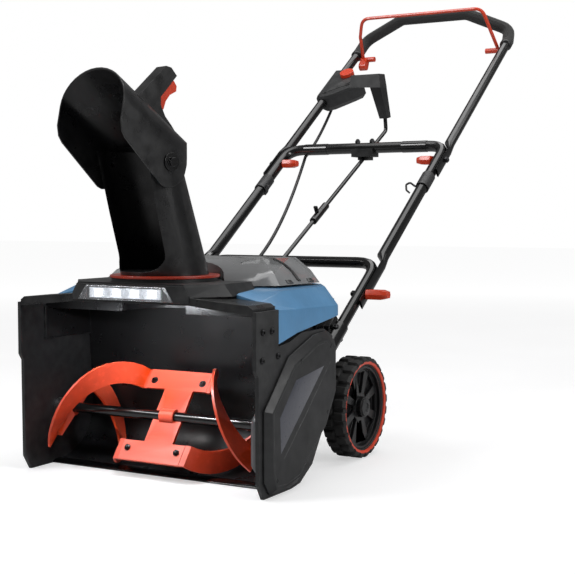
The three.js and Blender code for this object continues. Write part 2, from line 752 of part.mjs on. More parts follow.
/** The chute: a tapered, leaning pipe with a tall U-shaped opening in front. */
function chuteTube() {
  const low = CHUTE.ringTop;
  const height = CHUTE.topZ - low;
  const pipe = (shrink) => {
    const radii = [CHUTE.topRadius - shrink, CHUTE.radius - shrink];
    return new THREE.CylinderGeometry(...radii, height, 36, 1)
      .rotateX(Math.PI / 2)
      .translate(0, 0, low + height / 2);
  };
  const mouth = prismY([
    ...arc([-32, low + 36], 30, 180, 270, 5),
    ...arc([32, low + 36], 30, 270, 360, 5),
    [65, CHUTE.topZ + 1],
    [-65, CHUTE.topZ + 1],
  ], -100, 0);
  const bore = solid(pipe(3.5).scale(1, 1, 1.02));
  const upright = cut(solid(pipe(0)), bore, mouth);
  const sheared = solid(leaning(geometryOf(upright)));
  const { f, z } = DEFLECTOR_PIVOT;
  const ears = [-1, 1].map((side) => sideBar(side, 16, 62, EAR_FACE, -f, z, 20));
  const hollow = solid(leaning(pipe(3.5).scale(1, 1, 1.02)));
  return cut(join(sheared, ...ears), hollow, barX(4, -90, 90, -f, z, 10));
}

const HOOD = { halfWidth: 86, rearReach: 78, wall: 3.3, spring: 22, rise: 53, pitch: 35.5 };

/** A half-turn of an ellipse, as outline points. */
function halfEllipse(centre, across, along, steps) {
  return Array.from({ length: steps + 1 }, (_, i) => {
    const angle = (Math.PI * i) / steps;
    return [centre[0] + across * Math.cos(angle), centre[1] + along * Math.sin(angle)];
  });
}

/** The hood's bulk: an arch along its slope, rounded behind, and trimmed to a side view. */
function hoodBlock(shrink, sideView) {
  const half = HOOD.halfWidth - shrink;
  const { f, z } = DEFLECTOR_PIVOT;
  const crown = halfEllipse([0, HOOD.spring], half, HOOD.rise - shrink, 18);
  const arch = prismY([...crown, [-half, -190], [half, -190]], -260, 200)
    .rotate([-HOOD.pitch, 0, 0])
    .translate([0, -f, z]);
  const back = halfEllipse([0, -f], half, HOOD.rearReach - shrink, 18);
  const plan = prismZ([...back, [-half, -260], [half, -260]], 440, 760);
  const silhouette = prismX(sideView.map(([ahead, up]) => [-ahead, up]), -100, 100);
  return arch.intersect(plan).intersect(silhouette);
}

/** The deflector hood on top of the chute. */
function deflectorHood() {
  const { f, z } = DEFLECTOR_PIVOT;
  const outside = hoodBlock(0, [
    [68, 487], [77, 491], [148, 562], [154.5, 573], [156.5, 590], [138.5, 681],
    [110, 760], [108, 760], [0, 580], [-14, 557], [-18, 550], [-17, 545], [-12, 541], [-5, 539],
    [25, 502], [52, 488],
  ]);
  const inside = hoodBlock(HOOD.wall, [
    [60, 440], [240, 560], [240, 760], [114, 760], [-15, 545], [-40, 500], [-40, 440],
  ]);
  return cut(outside, inside, barX(4.2, -100, 100, -f, z, 10));
}

const TRIGGER_PIVOT = { f: 13, z: 622 };

/** Handle on the hood's back, which the operator tilts it by. */
function deflectorHandle() {
  const profile = [
    [62, 640], [5, 692], [-6, 690], [-18, 677], [8, 649], [17, 640], [17, 626],
    [8, 608], [-5, 594], [-21, 574], [20, 560], [70, 600],
  ];
  const bar = prismX(profile.map(([f, z]) => [-f, z]), -13, 13);
  const slot = prismX([[-31, 600], [-31, 640], [-17, 660], [4, 684], [60, 684], [60, 600]], -6, 6);
  const pinHole = barX(2.5, -20, 20, -TRIGGER_PIVOT.f, TRIGGER_PIVOT.z, 10);
  const hood = hoodBlock(-GAP, [[240, 400], [240, 760], [-120, 760], [-120, 400]]);
  return cut(bar, slot, pinHole, hood);
}

/** Curved trigger in the handle, on a pin at its lower end. */
function deflectorTrigger() {
  const lever = [
    [12, 670], [18, 669.6], [24, 661], [23, 652], [9, 645], [0, 634], [-4.7, 621], [-9, 616],
    [-16, 617], [-18, 626], [-15, 640], [-3, 656],
  ];
  return join(prismX(lever, -5, 5), barX(2, -11, 11, -TRIGGER_PIVOT.f, TRIGGER_PIVOT.z, 10));
}

/** Bolt with a wide washer, on one side of the deflector's pivot. */
function pivotBolt(side) {
  const { f, z } = DEFLECTOR_PIVOT;
  const low = HOOD.halfWidth + GAP;
  return join(
    sideBar(side, 15, low, low + 2.5, -f, z, 24),
    sideBar(side, 8, low + 2, low + 7, -f, z, 6),
    sideBar(side, 3.5, 76, low + 1, -f, z, 10),
  );
}

// ---------------------------------------------------------------- crank

/** A point beside the crank's line: up the line, off it, and to the side. */
function onCrank(s, lift = 0, x = 0) {
  return v3(
    x,
    CRANK.y + s * Math.cos(CRANK.slope) - lift * Math.sin(CRANK.slope),
    CRANK.z + s * Math.sin(CRANK.slope) + lift * Math.cos(CRANK.slope),
  );
}

const CRANK_LOW_END = -106;
const BRACKET_S = 424;
const CRANK_TOP = [onCrank(562), v3(0, 984, 668), v3(0, 972, 692)];

function crankRodLower() {
  const rod = solid(bentBar([onCrank(CRANK_LOW_END), onCrank(CRANK.splitS - 1)], CRANK.radius, 10, 12));
  const coupler = solid(bentBar([onCrank(CRANK.splitS - 40), onCrank(CRANK.splitS)], 8, 10, 16));
  const thumbScrew = box([-4, -2, 7], [4, 2, 22])
    .rotate([THREE.MathUtils.radToDeg(CRANK.slope), 0, 0])
    .translate(onCrank(CRANK.splitS - 16).toArray());
  return join(rod, coupler, thumbScrew);
}

function crankRodUpper() {
  const socket = solid(bentBar([onCrank(CRANK.splitS + GAP), onCrank(CRANK.splitS + 26)], 8, 10, 16));
  const rod = solid(bentBar([
    onCrank(CRANK.splitS + 5), ...CRANK_TOP,
  ], CRANK.radius, 12, 10));
  return join(socket, rod);
}

/** Tapered grip with a block head, on the rod's upper end. */
function crankGrip() {
  const taper = loft([
    [[10, 994, 672], [10, 974, 668], [-10, 974, 668], [-10, 994, 672]],
    [[13, 962, 742], [13, 926, 738], [-13, 926, 738], [-13, 962, 742]],
  ]);
  const head = loft([
    [[14, 962, 738], [14, 924, 734], [-64, 924, 738], [-64, 962, 742]],
    [[11, 956, 768], [11, 926, 766], [-61, 926, 766], [-61, 956, 768]],
  ]);
  const end = CRANK_TOP[2].clone().sub(CRANK_TOP[1]).setLength(GAP).add(CRANK_TOP[2]);
  const rodRoom = solid(bentBar([CRANK_TOP[0], CRANK_TOP[1], end], CRANK.radius + GAP, 12, 12));
  return cut(join(taper, head), rodRoom);
}

/** Clamp under the upper crossbar that the crank rod turns in. */
function crankBracket() {
  const { y, z } = CROSSBAR;
  const saddle = box([-26, -17, -20], [26, 17, -2]);
  const eye = box([-13, -10, -27], [13, 16, -8]);
  const body = join(saddle, eye).translate([0, y, z]);
  const rodLine = [onCrank(BRACKET_S - 60), onCrank(BRACKET_S + 60)];
  const rodRoom = solid(bentBar(rodLine, CRANK.radius + GAP, 10, 16));
  return cut(body, rodRoom, tubeRoom([v3(-60, y, z), v3(60, y, z)], TUBE_RADIUS));
}

/** Shaft from the crank's lower end, between the battery wells, to a pinion under the ring. */
function transferShaft() {
  const shaft = prismY(circle([0, 311], 4, 12), 178, 396);
  const pinion = prismY(circle([0, 311], 9, 16), 176, 192);
  return join(shaft, pinion);
}

// ---------------------------------------------------------------- handle

const LOWER_BAR_S = 96;
const UPPER_BAR_S = 515;
const CROSSBAR = onHandle(0, UPPER_BAR_S);
const TUBE_WALL = 1.3;
const LOWER_LEG = { x: 192.5, end: -185, bend: 42 };
const MIDDLE_LEG = { x: 197, s: -30, taper: 0.0033, crimpEnd: 92, round: 116, bend: 40 };
const UPPER_LEG = { x: 202, s: 408, taper: 0.0017, crimpEnd: 494, round: 520 };

/** Where a leg stands, side to side, at a height up the slope. */
function legX(leg, s) {
  return leg.x - leg.taper * (s - leg.s);
}

/** A point on a leg's centre line. */
function onLeg(leg, s) {
  return onHandle(legX(leg, s), s);
}

/** Hollow tube: a shape made at its outer radius, less the same shape made inside its wall. */
function hollowTube(shape, radius) {
  return cut(solid(shape(radius, 0)), solid(shape(radius - TUBE_WALL, 5)));
}

/** Lower U: two legs out of the machine, joined by a crossbar above the lid. */
function lowerFrame() {
  const { x, end, bend } = LOWER_LEG;
  const shape = (radius, extra) => (
    bentBar(wholeU([onHandle(x, end - extra), onHandle(x, LOWER_BAR_S)]), radius, bend, 12, 6)
  );
  return hollowTube(shape, LOWER_TUBE_RADIUS);
}

/** Middle U: its crimped ends lie outside the lower frame, and its crossbar carries the crank. */
function middleFrame() {
  const { s, crimpEnd, round, bend } = MIDDLE_LEG;
  const shape = (radius, extra) => {
    const leg = [s - extra, crimpEnd, round, UPPER_BAR_S].map((up) => onLeg(MIDDLE_LEG, up));
    const crimp = { lowS: s - 10, highS: crimpEnd + 4, from: 197, to: 206.6, ratio: extra ? 0.15 : 0.2167 };
    return pressFlat(bentBar(wholeU(leg), radius, bend, 12, 6), crimp);
  };
  return hollowTube(shape, TUBE_RADIUS);
}

const GRIP_START_S = 966;
const GRIP_ARCH = [onLeg(UPPER_LEG, 984), v3(194, 1287, 900), v3(87, 1276, 945.6)];
const GRIP_BEND = 30;

/** Upper handle: its crimped ends lie outside the middle frame, and it bends up into the grip's arch. */
function upperHandle() {
  const { s, crimpEnd, round } = UPPER_LEG;
  const shape = (radius, extra) => {
    const leg = [s - extra, crimpEnd, round].map((up) => onLeg(UPPER_LEG, up));
    const crimp = { lowS: s - 10, highS: crimpEnd + 4, from: 202, to: 210.4, ratio: extra ? 0.17 : 0.2545 };
    return pressFlat(bentBar(wholeU([...leg, ...GRIP_ARCH]), radius, GRIP_BEND, 12, 5), crimp);
  };
  return hollowTube(shape, UPPER_TUBE_RADIUS);
}

/** Foam sleeve over the arch of the upper handle. */
function foamGrip() {
  const sleeve = (start, radius) => {
    const line = wholeU([onLeg(UPPER_LEG, start), ...GRIP_ARCH]);
    return solid(bentBar(line, radius, GRIP_BEND, 12, 5));
  };
  return cut(sleeve(GRIP_START_S, 14.5), sleeve(GRIP_START_S - 20, UPPER_TUBE_RADIUS + GAP));
}

/** Orange clamp knob with its bolt: the knob stands from low to high, the bolt ends at boltEnd. */
function clampKnob(side, s, { low, high, boltEnd }) {
  const { y, z } = onHandle(0, s);
  const wide = [[-11, -9], [11, -9], [14, 0], [11, 9], [-11, 9], [-14, 0]];
  const narrow = [[-7, -6], [7, -6], [9, 0], [7, 6], [-7, 6], [-9, 0]];
  const ring = (shape, x) => shape.map(([u, v]) => [x, y + u, z + v]);
  const shoulder = high - 12 * Math.sign(high - low);
  const grip = loft([ring(wide, low), ring(wide, shoulder), ring(narrow, high)]);
  const inKnob = low + Math.sign(high - low);
  const bolt = barX(3, Math.min(boltEnd, inKnob), Math.max(boltEnd, inKnob), y, z, 12);
  const knob = join(grip, bolt);
  return side > 0 ? knob : knob.mirror([1, 0, 0]);
}

const LOWER_KNOB = { low: 209.9, high: 252.4, boltEnd: 174 };
const UPPER_KNOB = { low: 182.4, high: 149, boltEnd: 216 };

/** Bolt holes of one fold, straight through both pairs of legs. */
function foldBore(s) {
  const centre = onHandle(0, s);
  return barX(3.4, -260, 260, centre.y, centre.z, 8);
}

/** Plastic collar and cable hook on the middle frame, just under the upper handle's end. */
function tubeClip(side) {
  const at = (s, lift = 0, x = legX(MIDDLE_LEG, s)) => onHandle(side * x, s, lift);
  const collar = solid(bentBar([at(352), at(396)], 14.5, 10, 16));
  const hook = solid(bentBar([
    at(352, 4, 182), at(352, 14, 173), at(345, 14, 166), at(336, 6, 168), at(334, 0, 175),
  ], 2.2, 4, 6, 2));
  return cut(join(collar, hook), tubeRoom([at(320), at(412)], TUBE_RADIUS));
}

/** Bracket that carries one handle leg and one end of the axle. */
function handleBracket(side) {
  const plate = prismX([
    [318, 252], [352, 270], [408, 238], [404, 206], [384, 176], [411, 104], [411, 80],
    [381, 80], [372, 104], [330, 170], [318, 200],
  ], 168.3, 174.3);
  const shoe = solid(bentBar([onHandle(LOWER_LEG.x, -170), onHandle(LOWER_LEG.x, -95)], 14, 10, 16));
  const rib = prismX([[330, 205], [346, 243], [372, 262], [396, 240], [384, 205], [352, 188]], 173, 186);
  const legRoom = tubeRoom([onHandle(LOWER_LEG.x, -210), onHandle(LOWER_LEG.x, -40)], LOWER_TUBE_RADIUS);
  const wheelRoom = barX(WHEEL.radius + 4, 184, 300, AXLE.y, AXLE.z, 40);
  const axleRoom = barX(AXLE.radius + GAP, 160, 260, AXLE.y, AXLE.z);
  const body = cut(join(plate, rib, shoe), legRoom, wheelRoom, axleRoom);
  return side > 0 ? body : body.mirror([1, 0, 0]);
}

// ---------------------------------------------------------------- handle controls

const SWITCH_BUTTON = { x: -172, s: 838 };

/** Switch box round the right leg of the upper handle. */
function switchBox() {
  const plan = [
    [-217, 736], [-203, 728], [-180, 734], [-128, 776], [-112, 796], [-130, 824],
    [-165, 852], [-196, 868], [-217, 868],
  ];
  const layer = (lift, shrink) => inset(plan, shrink).map(([x, s]) => onHandle(x, s, lift).toArray());
  const block = loft([layer(16, 5), layer(10, 0), layer(-16, 0), layer(-29, 12)]);
  const cableBoss = solid(bentBar([onHandle(-203, 783, -20), onHandle(-203, 783, -42)], 6.5, 10, 12));
  const body = join(block, cableBoss);
  const leg = [690, 900].map((up) => onHandle(-legX(UPPER_LEG, up), up));
  const legRoom = tubeRoom(leg, UPPER_TUBE_RADIUS);
  const { x, s } = SWITCH_BUTTON;
  const buttonWell = solid(bentBar([onHandle(x, s, 6), onHandle(x, s, 60)], 18.5, 10, 20));
  return cut(body, legRoom, buttonWell);
}

/** Round orange safety button in the switch box. */
function startButton() {
  const { x, s } = SWITCH_BUTTON;
  return solid(bentBar([onHandle(x, s, 11), onHandle(x, s, 24)], 17.5, 10, 20));
}

const BAIL = { x: 189.5, y: 1243, z: 845 };

/** Orange bail wire ahead of the grip, on a hub at each leg; the right hub is also the switch's cam. */
function bailLever() {
  const wire = bentBar(wholeU([
    v3(181, BAIL.y, BAIL.z), v3(181, BAIL.y - 5, BAIL.z + 8), v3(172, 1203, 898), v3(159.5, 1187, 940),
  ]), 4.2, 26, 10, 6);
  const hubs = [-1, 1].map((side) => sideBar(side, 6.5, 150, BAIL.x, BAIL.y, BAIL.z, 16));
  const cam = [
    ...arc([BAIL.y, BAIL.z], 6.5, -15, 135, 6),
    ...arc([BAIL.y - 11, BAIL.z - 18], 10.5, 135, 345, 9),
  ];
  return join(solid(wire), ...hubs, prismX(cam, -186, -168));
}

// ---------------------------------------------------------------- wheels

const WHEEL_HUB_WIDTH = 34;

/** A wheel's tyre, revolved round the axle. */
function tyre(side) {
  const { radius, width, rimRadius } = WHEEL;
  const half = width / 2;
  const profile = [
    [rimRadius, -half + 6], [rimRadius + 8, -half + 1], [radius - 5, -half], [radius, -half + 6],
    [radius, half - 6], [radius - 5, half], [rimRadius + 8, half - 1], [rimRadius, half - 6],
    [rimRadius, -half + 6],
  ];
  const ring = new THREE.LatheGeometry(profile.map(([r, t]) => new THREE.Vector2(r, t)), 36);
  return onAxle(ring, side);
}

/** Turns a shape made round +Y so that it lies round the axle, at one wheel's middle. */
function onAxle(geometry, side) {
  geometry.rotateZ(-Math.PI / 2);
  return solid(geometry.translate(side * (WHEEL.outerFace - WHEEL.width / 2), AXLE.y, AXLE.z));
}

/** A wheel's rim: a closed dish with eight pockets between its spokes. */
function rim(side) {
  const { rimRadius, outerFace, width } = WHEEL;
  const middle = outerFace - width / 2;
  const barrel = cut(
    barX(rimRadius - GAP, middle - 17, middle + 17, AXLE.y, AXLE.z, 36),
    barX(rimRadius - 5, middle - 30, middle + 30, AXLE.y, AXLE.z, 36),
  );
  const web = barX(rimRadius - 3, middle, middle + 10, AXLE.y, AXLE.z, 36);
  const hub = barX(19, middle - WHEEL_HUB_WIDTH / 2, middle + 20, AXLE.y, AXLE.z, 24);
  const pockets = Array.from({ length: 8 }, (_, i) => {
    const turn = i * 45;
    const ray = (radius, angle) => {
      const [[y, z]] = arc([AXLE.y, AXLE.z], radius, turn + angle, turn + angle, 1);
      return [y, z];
    };
    return prismX([ray(26, -10), ray(66, -15), ray(66, 15), ray(26, 10)], middle + 3, middle + 20);
  });
  const bore = barX(AXLE.radius + GAP, middle - 40, middle + 17, AXLE.y, AXLE.z, 16);
  const body = cut(join(barrel, web, hub), ...pockets, bore);
  return side > 0 ? body : body.mirror([1, 0, 0]);
}

function wheelAxle() {
  return barX(AXLE.radius, -228, 228, AXLE.y, AXLE.z, 16);
}

// ---------------------------------------------------------------- cable

const CABLE_RADIUS = 3.5;
const CABLE_START = onHandle(-201, 773, -36);
const CABLE_BAR = onHandle(-157, UPPER_BAR_S - 3, -17);
const CABLE_SAG = v3(-20, 440, 366);
const CABLE_END = v3(-38, 392, 322.5);

/** One run of the power cable; both runs meet under the upper crossbar. */
function cableRun(points) {
  return bentBar(points, CABLE_RADIUS, 20, 8);
}

/** The point that lies the given distance short of the second end. */
function shortened(from, to, distance) {
  return to.clone().add(from.clone().sub(to).setLength(distance));
}

// ---------------------------------------------------------------- assembly

add('auger_housing', augerHousing(), BLACK_PLASTIC);
add('side_plate_left', sidePlate(1), DARK_PLASTIC);
add('side_plate_right', sidePlate(-1), DARK_PLASTIC);
add('scraper_bar', scraperBar(), DARK_PLASTIC);
add('belt_cover', beltCover(), DARK_PLASTIC);
add('bearing_guard', bearingGuard(), GREY_PLASTIC);
add('chute_deck', chuteDeck(), DARK_PLASTIC);
add('headlight_lens', headlightLens(), CLEAR_PLASTIC);
add('led_board', ledBoard(), CLEAR_PLASTIC);
add('shroud', shroud(), BLUE_PLASTIC);
add('battery_tray', batteryTray(), BLACK_PLASTIC);
add('terminal_board', terminalBoard(), BLACK_PLASTIC);
add('battery_lid', lidShell(), SMOKED_PLASTIC);
add('lid_hinge_pin', lidHingePin(), STEEL);
add('rear_case', rearCase(), BLACK_PLASTIC);
add('motor_can', motorCan(), STEEL);
add('motor_rotor', motorRotor(), STEEL);
add('auger_pulley', augerPulley(), BLACK_PLASTIC);
add('drive_belt', driveBelt(), RUBBER);
add('controller_board', controllerBoard(), BOARD_GREEN);
add('auger_bearing_left', augerBearing(1), STEEL);
add('auger_bearing_right', augerBearing(-1), STEEL);

add('auger_shaft', augerShaft(), BLACK_PAINT);
add('auger_paddle', centrePaddle(), AUGER_RED);
add('auger_flight_left', augerFlight(1), AUGER_RED);
add('auger_flight_right', augerFlight(-1), AUGER_RED);

add('chute_ring', chuteRing(), AUGER_RED, chuteGroup);
add('chute_tube', chuteTube(), BLACK_PLASTIC, chuteGroup);
add('deflector', deflectorHood(), BLACK_PLASTIC, chuteGroup);
add('deflector_handle', deflectorHandle(), BLACK_PLASTIC, chuteGroup);
add('deflector_trigger', deflectorTrigger(), ORANGE_PLASTIC, chuteGroup);
add('pivot_bolt_left', pivotBolt(1), BLACK_PAINT, chuteGroup);
add('pivot_bolt_right', pivotBolt(-1), BLACK_PAINT, chuteGroup);

add('transfer_shaft', transferShaft(), STEEL);
add('crank_rod_lower', crankRodLower(), BLACK_PAINT);
add('crank_rod_upper', crankRodUpper(), BLACK_PAINT);
add('crank_grip', crankGrip(), DARK_PLASTIC);
add('crank_bracket', crankBracket(), BLACK_PLASTIC);

add('lower_frame', cut(lowerFrame(), foldBore(0)), BLACK_PAINT);
add('middle_frame', cut(middleFrame(), foldBore(0), foldBore(UPPER_FOLD_S)), BLACK_PAINT);
add('upper_handle', cut(upperHandle(), foldBore(UPPER_FOLD_S)), BLACK_PAINT);
add('foam_grip', foamGrip(), FOAM);
for (const [side, word] of [[1, 'left'], [-1, 'right']]) {
  add(`lower_knob_${word}`, clampKnob(side, 0, LOWER_KNOB), ORANGE_PLASTIC);
  add(`upper_knob_${word}`, clampKnob(side, UPPER_FOLD_S, UPPER_KNOB), ORANGE_PLASTIC);
  add(`tube_clip_${word}`, tubeClip(side), GREY_PLASTIC);
  add(`handle_bracket_${word}`, handleBracket(side), BLACK_PAINT);
  add(`tyre_${word}`, tyre(side), RUBBER);
  add(`rim_${word}`, rim(side), BLACK_PLASTIC);
}
add('switch_box', switchBox(), DARK_PLASTIC);
add('start_button', startButton(), ORANGE_PLASTIC);
add('bail_lever', bailLever(), ORANGE_PLASTIC);
add('wheel_axle', wheelAxle(), STEEL);
const upperRun = [CABLE_START, shortened(CABLE_START, CABLE_BAR, 1)];
const lowerRun = [shortened(CABLE_SAG, CABLE_BAR, 1), CABLE_SAG, CABLE_END];
add('power_cable_upper', cableRun(upperRun), GREY_PLASTIC);
add('power_cable_lower', cableRun(lowerRun), GREY_PLASTIC);

export default machine;
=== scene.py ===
"""A single stage snowblower: the looks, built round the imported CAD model.

Metres, +Z up. The auger mouth faces -Y and the operator stands at +Y, with the left hand at +X.
Most pieces are copies of a CAD node with welded points and rounded edges. The rest are small
parts that only show: screws, rings, ribs, reflectors and the like.
"""

import json
import math

import bmesh
import bpy
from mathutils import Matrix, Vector
from mathutils.bvhtree import BVHTree


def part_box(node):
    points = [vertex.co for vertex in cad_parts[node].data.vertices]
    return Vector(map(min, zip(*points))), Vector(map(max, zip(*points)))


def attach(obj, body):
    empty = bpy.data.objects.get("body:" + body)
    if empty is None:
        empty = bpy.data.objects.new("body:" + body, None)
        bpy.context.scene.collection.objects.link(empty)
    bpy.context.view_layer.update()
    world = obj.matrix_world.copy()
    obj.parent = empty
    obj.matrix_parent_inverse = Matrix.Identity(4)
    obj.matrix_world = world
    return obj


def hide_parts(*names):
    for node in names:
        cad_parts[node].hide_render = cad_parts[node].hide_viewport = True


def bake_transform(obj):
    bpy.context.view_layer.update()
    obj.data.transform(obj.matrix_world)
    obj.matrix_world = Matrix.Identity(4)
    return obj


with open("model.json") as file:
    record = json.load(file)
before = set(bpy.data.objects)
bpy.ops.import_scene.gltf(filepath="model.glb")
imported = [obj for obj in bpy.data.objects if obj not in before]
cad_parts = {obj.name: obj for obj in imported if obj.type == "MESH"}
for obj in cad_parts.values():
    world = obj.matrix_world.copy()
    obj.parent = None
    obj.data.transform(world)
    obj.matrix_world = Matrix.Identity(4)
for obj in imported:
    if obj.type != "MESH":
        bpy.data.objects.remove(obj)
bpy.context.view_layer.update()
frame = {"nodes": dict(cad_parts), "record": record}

# ---------------------------------------------------------------- driving dimensions

MIDDLE_Y = 0.61307  # the housing's front edge lies this far in front of the origin

HOUSING_HALF_WIDTH = 0.240
AUGER = {"y": 0.100, "z": 0.100}
AXLE = {"y": 0.396, "z": 0.0926}
WHEEL = {"outer_face": 0.2377, "rim_radius": 0.076}

# The handle's legs lie in one sloping plane, and s runs up that slope from the lower fold.
SLOPE = math.radians(35.55)
FOLD = {"y": 0.457, "z": 0.2952}
UPPER_FOLD_S = 0.458
CROSSBAR_S = 0.515
CABLE_RADIUS = 0.0035


def spot(x, y, z):
    """A point whose y is measured from the housing's front edge, as all the places below are."""
    return Vector((x, y - MIDDLE_Y, z))


def on_handle(x, s, lift=0.0):
    """A point on the handle's sloping plane: x across, s up the slope and lift above it."""
    return spot(
        x,
        FOLD["y"] + s * math.cos(SLOPE) - lift * math.sin(SLOPE),
        FOLD["z"] + s * math.sin(SLOPE) + lift * math.cos(SLOPE),
    )


SIDES = (-1, 1)
UP = Vector((0, 0, 1))
DOWN = -UP
LEFT = Vector((1, 0, 0))
UP_THE_HANDLE = on_handle(0, 1) - on_handle(0, 0)
OVER_THE_HANDLE = on_handle(0, 0, 1) - on_handle(0, 0, 0)


# ---------------------------------------------------------------- camera

CAMERA = {
    "place": (1.1635, -2.1472, 0.4412),
    "down_degrees": 3.46,
    "turned_degrees": 29.51,
    "lens": 73.72,
    "sensor_width": 36,
    "far": 50,
}


def in_scene(name, data):
    """Puts a mesh, a light or a camera into the scene as an object."""
    made = bpy.data.objects.new(name, data)
    bpy.context.scene.collection.objects.link(made)
    return made


def make_camera():
    """The camera in front of the machine and to its left."""
    data = bpy.data.cameras.new("camera")
    data.lens = CAMERA["lens"]
    data.sensor_width = CAMERA["sensor_width"]
    data.clip_end = CAMERA["far"]
    camera = in_scene("camera", data)
    camera.location = CAMERA["place"]
    level_degrees = 90  # a camera that isn't turned looks straight down
    tilt = math.radians(level_degrees - CAMERA["down_degrees"])
    camera.rotation_euler = (tilt, 0, math.radians(CAMERA["turned_degrees"]))
    bpy.context.scene.camera = camera


# ---------------------------------------------------------------- shader helper

MIX_FIRST, MIX_SECOND, MIX_RESULT = 6, 7, 2  # the colour sockets of a Mix node


class Shader:
    """A material's node tree, with short calls for the few kinds of node used here."""

    def __init__(self, name, **inputs):
        self.material = bpy.data.materials.new(name)
        self.material.use_nodes = True
        self.tree = self.material.node_tree
        self.surface = self.tree.nodes["Principled BSDF"]
        self.place = self.add("ShaderNodeTexCoord").outputs["Object"]
        self.normal = None
        for socket, value in inputs.items():
            self.surface.inputs[socket.replace("_", " ")].default_value = value

    def add(self, kind, **settings):
        """A new node, with its settings."""
        node = self.tree.nodes.new(kind)
        for key, value in settings.items():
            setattr(node, key, value)
        return node

    def feed(self, source, target):
        """Links an output socket to an input socket."""
        self.tree.links.new(source, target)

    def stretched(self, scale):
        """The place, scaled differently along X, Y and Z."""
        mapping = self.add("ShaderNodeMapping")
        mapping.inputs["Scale"].default_value = scale
        self.feed(self.place, mapping.inputs["Vector"])
        return mapping.outputs["Vector"]

    def noise(self, scale, detail=3.0, roughness=0.5, place=None):
        """Cloudy noise, 0 to 1."""
        node = self.add("ShaderNodeTexNoise")
        node.inputs["Scale"].default_value = scale
        node.inputs["Detail"].default_value = detail
        node.inputs["Roughness"].default_value = roughness
        self.feed(place or self.place, node.inputs["Vector"])
        return node.outputs["Fac"]

    def cells(self, scale, feature="F1"):
        """Distances in a cell pattern: to the cell's middle, or to its edge."""
        node = self.add("ShaderNodeTexVoronoi", feature=feature)
        node.inputs["Scale"].default_value = scale
        self.feed(self.place, node.inputs["Vector"])
        return node.outputs["Distance"]

    def flutes(self, scale):
        """Even waves along X."""
        node = self.add("ShaderNodeTexWave", bands_direction="X")
        node.inputs["Scale"].default_value = scale
        node.inputs["Distortion"].default_value = 0.0
        self.feed(self.place, node.inputs["Vector"])
        return node.outputs["Fac"]

    def between(self, source, low, high, start=0.0, end=1.0):
        """Maps low..high of the source to start..end."""
        node = self.add("ShaderNodeMapRange")
        node.inputs["From Min"].default_value = low
        node.inputs["From Max"].default_value = high
        node.inputs["To Min"].default_value = start
        node.inputs["To Max"].default_value = end
        self.feed(source, node.inputs["Value"])
        return node.outputs["Result"]

    def worn_and_highlit_edges(self, low=0.52, high=0.62):
        """0 on flat surfaces and 1 along convex edges, where wear and painted edge highlights go.
        """
        pointiness = self.add("ShaderNodeNewGeometry").outputs["Pointiness"]
        return self.between(pointiness, low, high)

    def colours(self, factor, first, second):
        """Mixes two colours, each a tuple or a socket."""
        node = self.add("ShaderNodeMix", data_type="RGBA")
        self.feed(factor, node.inputs["Factor"])
        for index, colour in ((MIX_FIRST, first), (MIX_SECOND, second)):
            socket = node.inputs[index]
            if isinstance(colour, tuple):
                socket.default_value = (*colour, 1)
            else:
                self.feed(colour, socket)
        return node.outputs[MIX_RESULT]

    def ramp(self, source, low, high, first, second):
        """The first colour where the source is low, and the second where it is high."""
        return self.colours(self.between(source, low, high), first, second)

    def times(self, first, second):
        """The product of two values; the second is a number or a socket."""
        node = self.add("ShaderNodeMath", operation="MULTIPLY")
        self.feed(first, node.inputs[0])
        if isinstance(second, float):
            node.inputs[1].default_value = second
        else:
            self.feed(second, node.inputs[1])
        return node.outputs[0]

    def set_colour(self, source):
        self.feed(source, self.surface.inputs["Base Color"])

    def set_roughness(self, source, low, high, start, end):
        """A roughness of start where the source is low, and of end where it is high."""
        self.feed(self.between(source, low, high, start, end), self.surface.inputs["Roughness"])

    def set_glow(self, source):
        self.feed(source, self.surface.inputs["Emission Strength"])

    def bump(self, height, strength, depth):
        """Adds a bump layer on top of the ones before it; the depth is in metres."""
        node = self.add("ShaderNodeBump")
        node.inputs["Strength"].default_value = strength
        node.inputs["Distance"].default_value = depth
        self.feed(height, node.inputs["Height"])
        if self.normal:
            self.feed(self.normal, node.inputs["Normal"])
        self.normal = node.outputs["Normal"]
        self.feed(self.normal, self.surface.inputs["Normal"])


def toned(tone, factor, lift=0.0):
    """A tone made darker or brighter: multiplied by the factor, then lifted."""
    return tuple(min(1.0, c * factor + lift) for c in tone)


def towards_grey(tone, share):
    """A tone moved part of the way to middle grey."""
    middle_grey = 0.5
    return tuple(c + (middle_grey - c) * share for c in tone)


# ---------------------------------------------------------------- materials

BLACK_TONE = (0.0045, 0.0045, 0.0050)
CHARCOAL_TONE = (0.0100, 0.0103, 0.0110)
GREY_TONE = (0.075, 0.078, 0.082)
PANEL_TONE = (0.055, 0.058, 0.075)
BLUE_TONE = (0.085, 0.255, 0.47)
AUGER_TONE = (0.66, 0.048, 0.004)
RED_TONE = (0.42, 0.032, 0.012)
ORANGE_TONE = (0.66, 0.046, 0.010)
STEEL_TONE = (0.42, 0.43, 0.44)
SCREW_TONE = (0.05, 0.05, 0.052)
CABLE_TONE = (0.016, 0.016, 0.017)
ACRYLIC_INDEX = 1.49


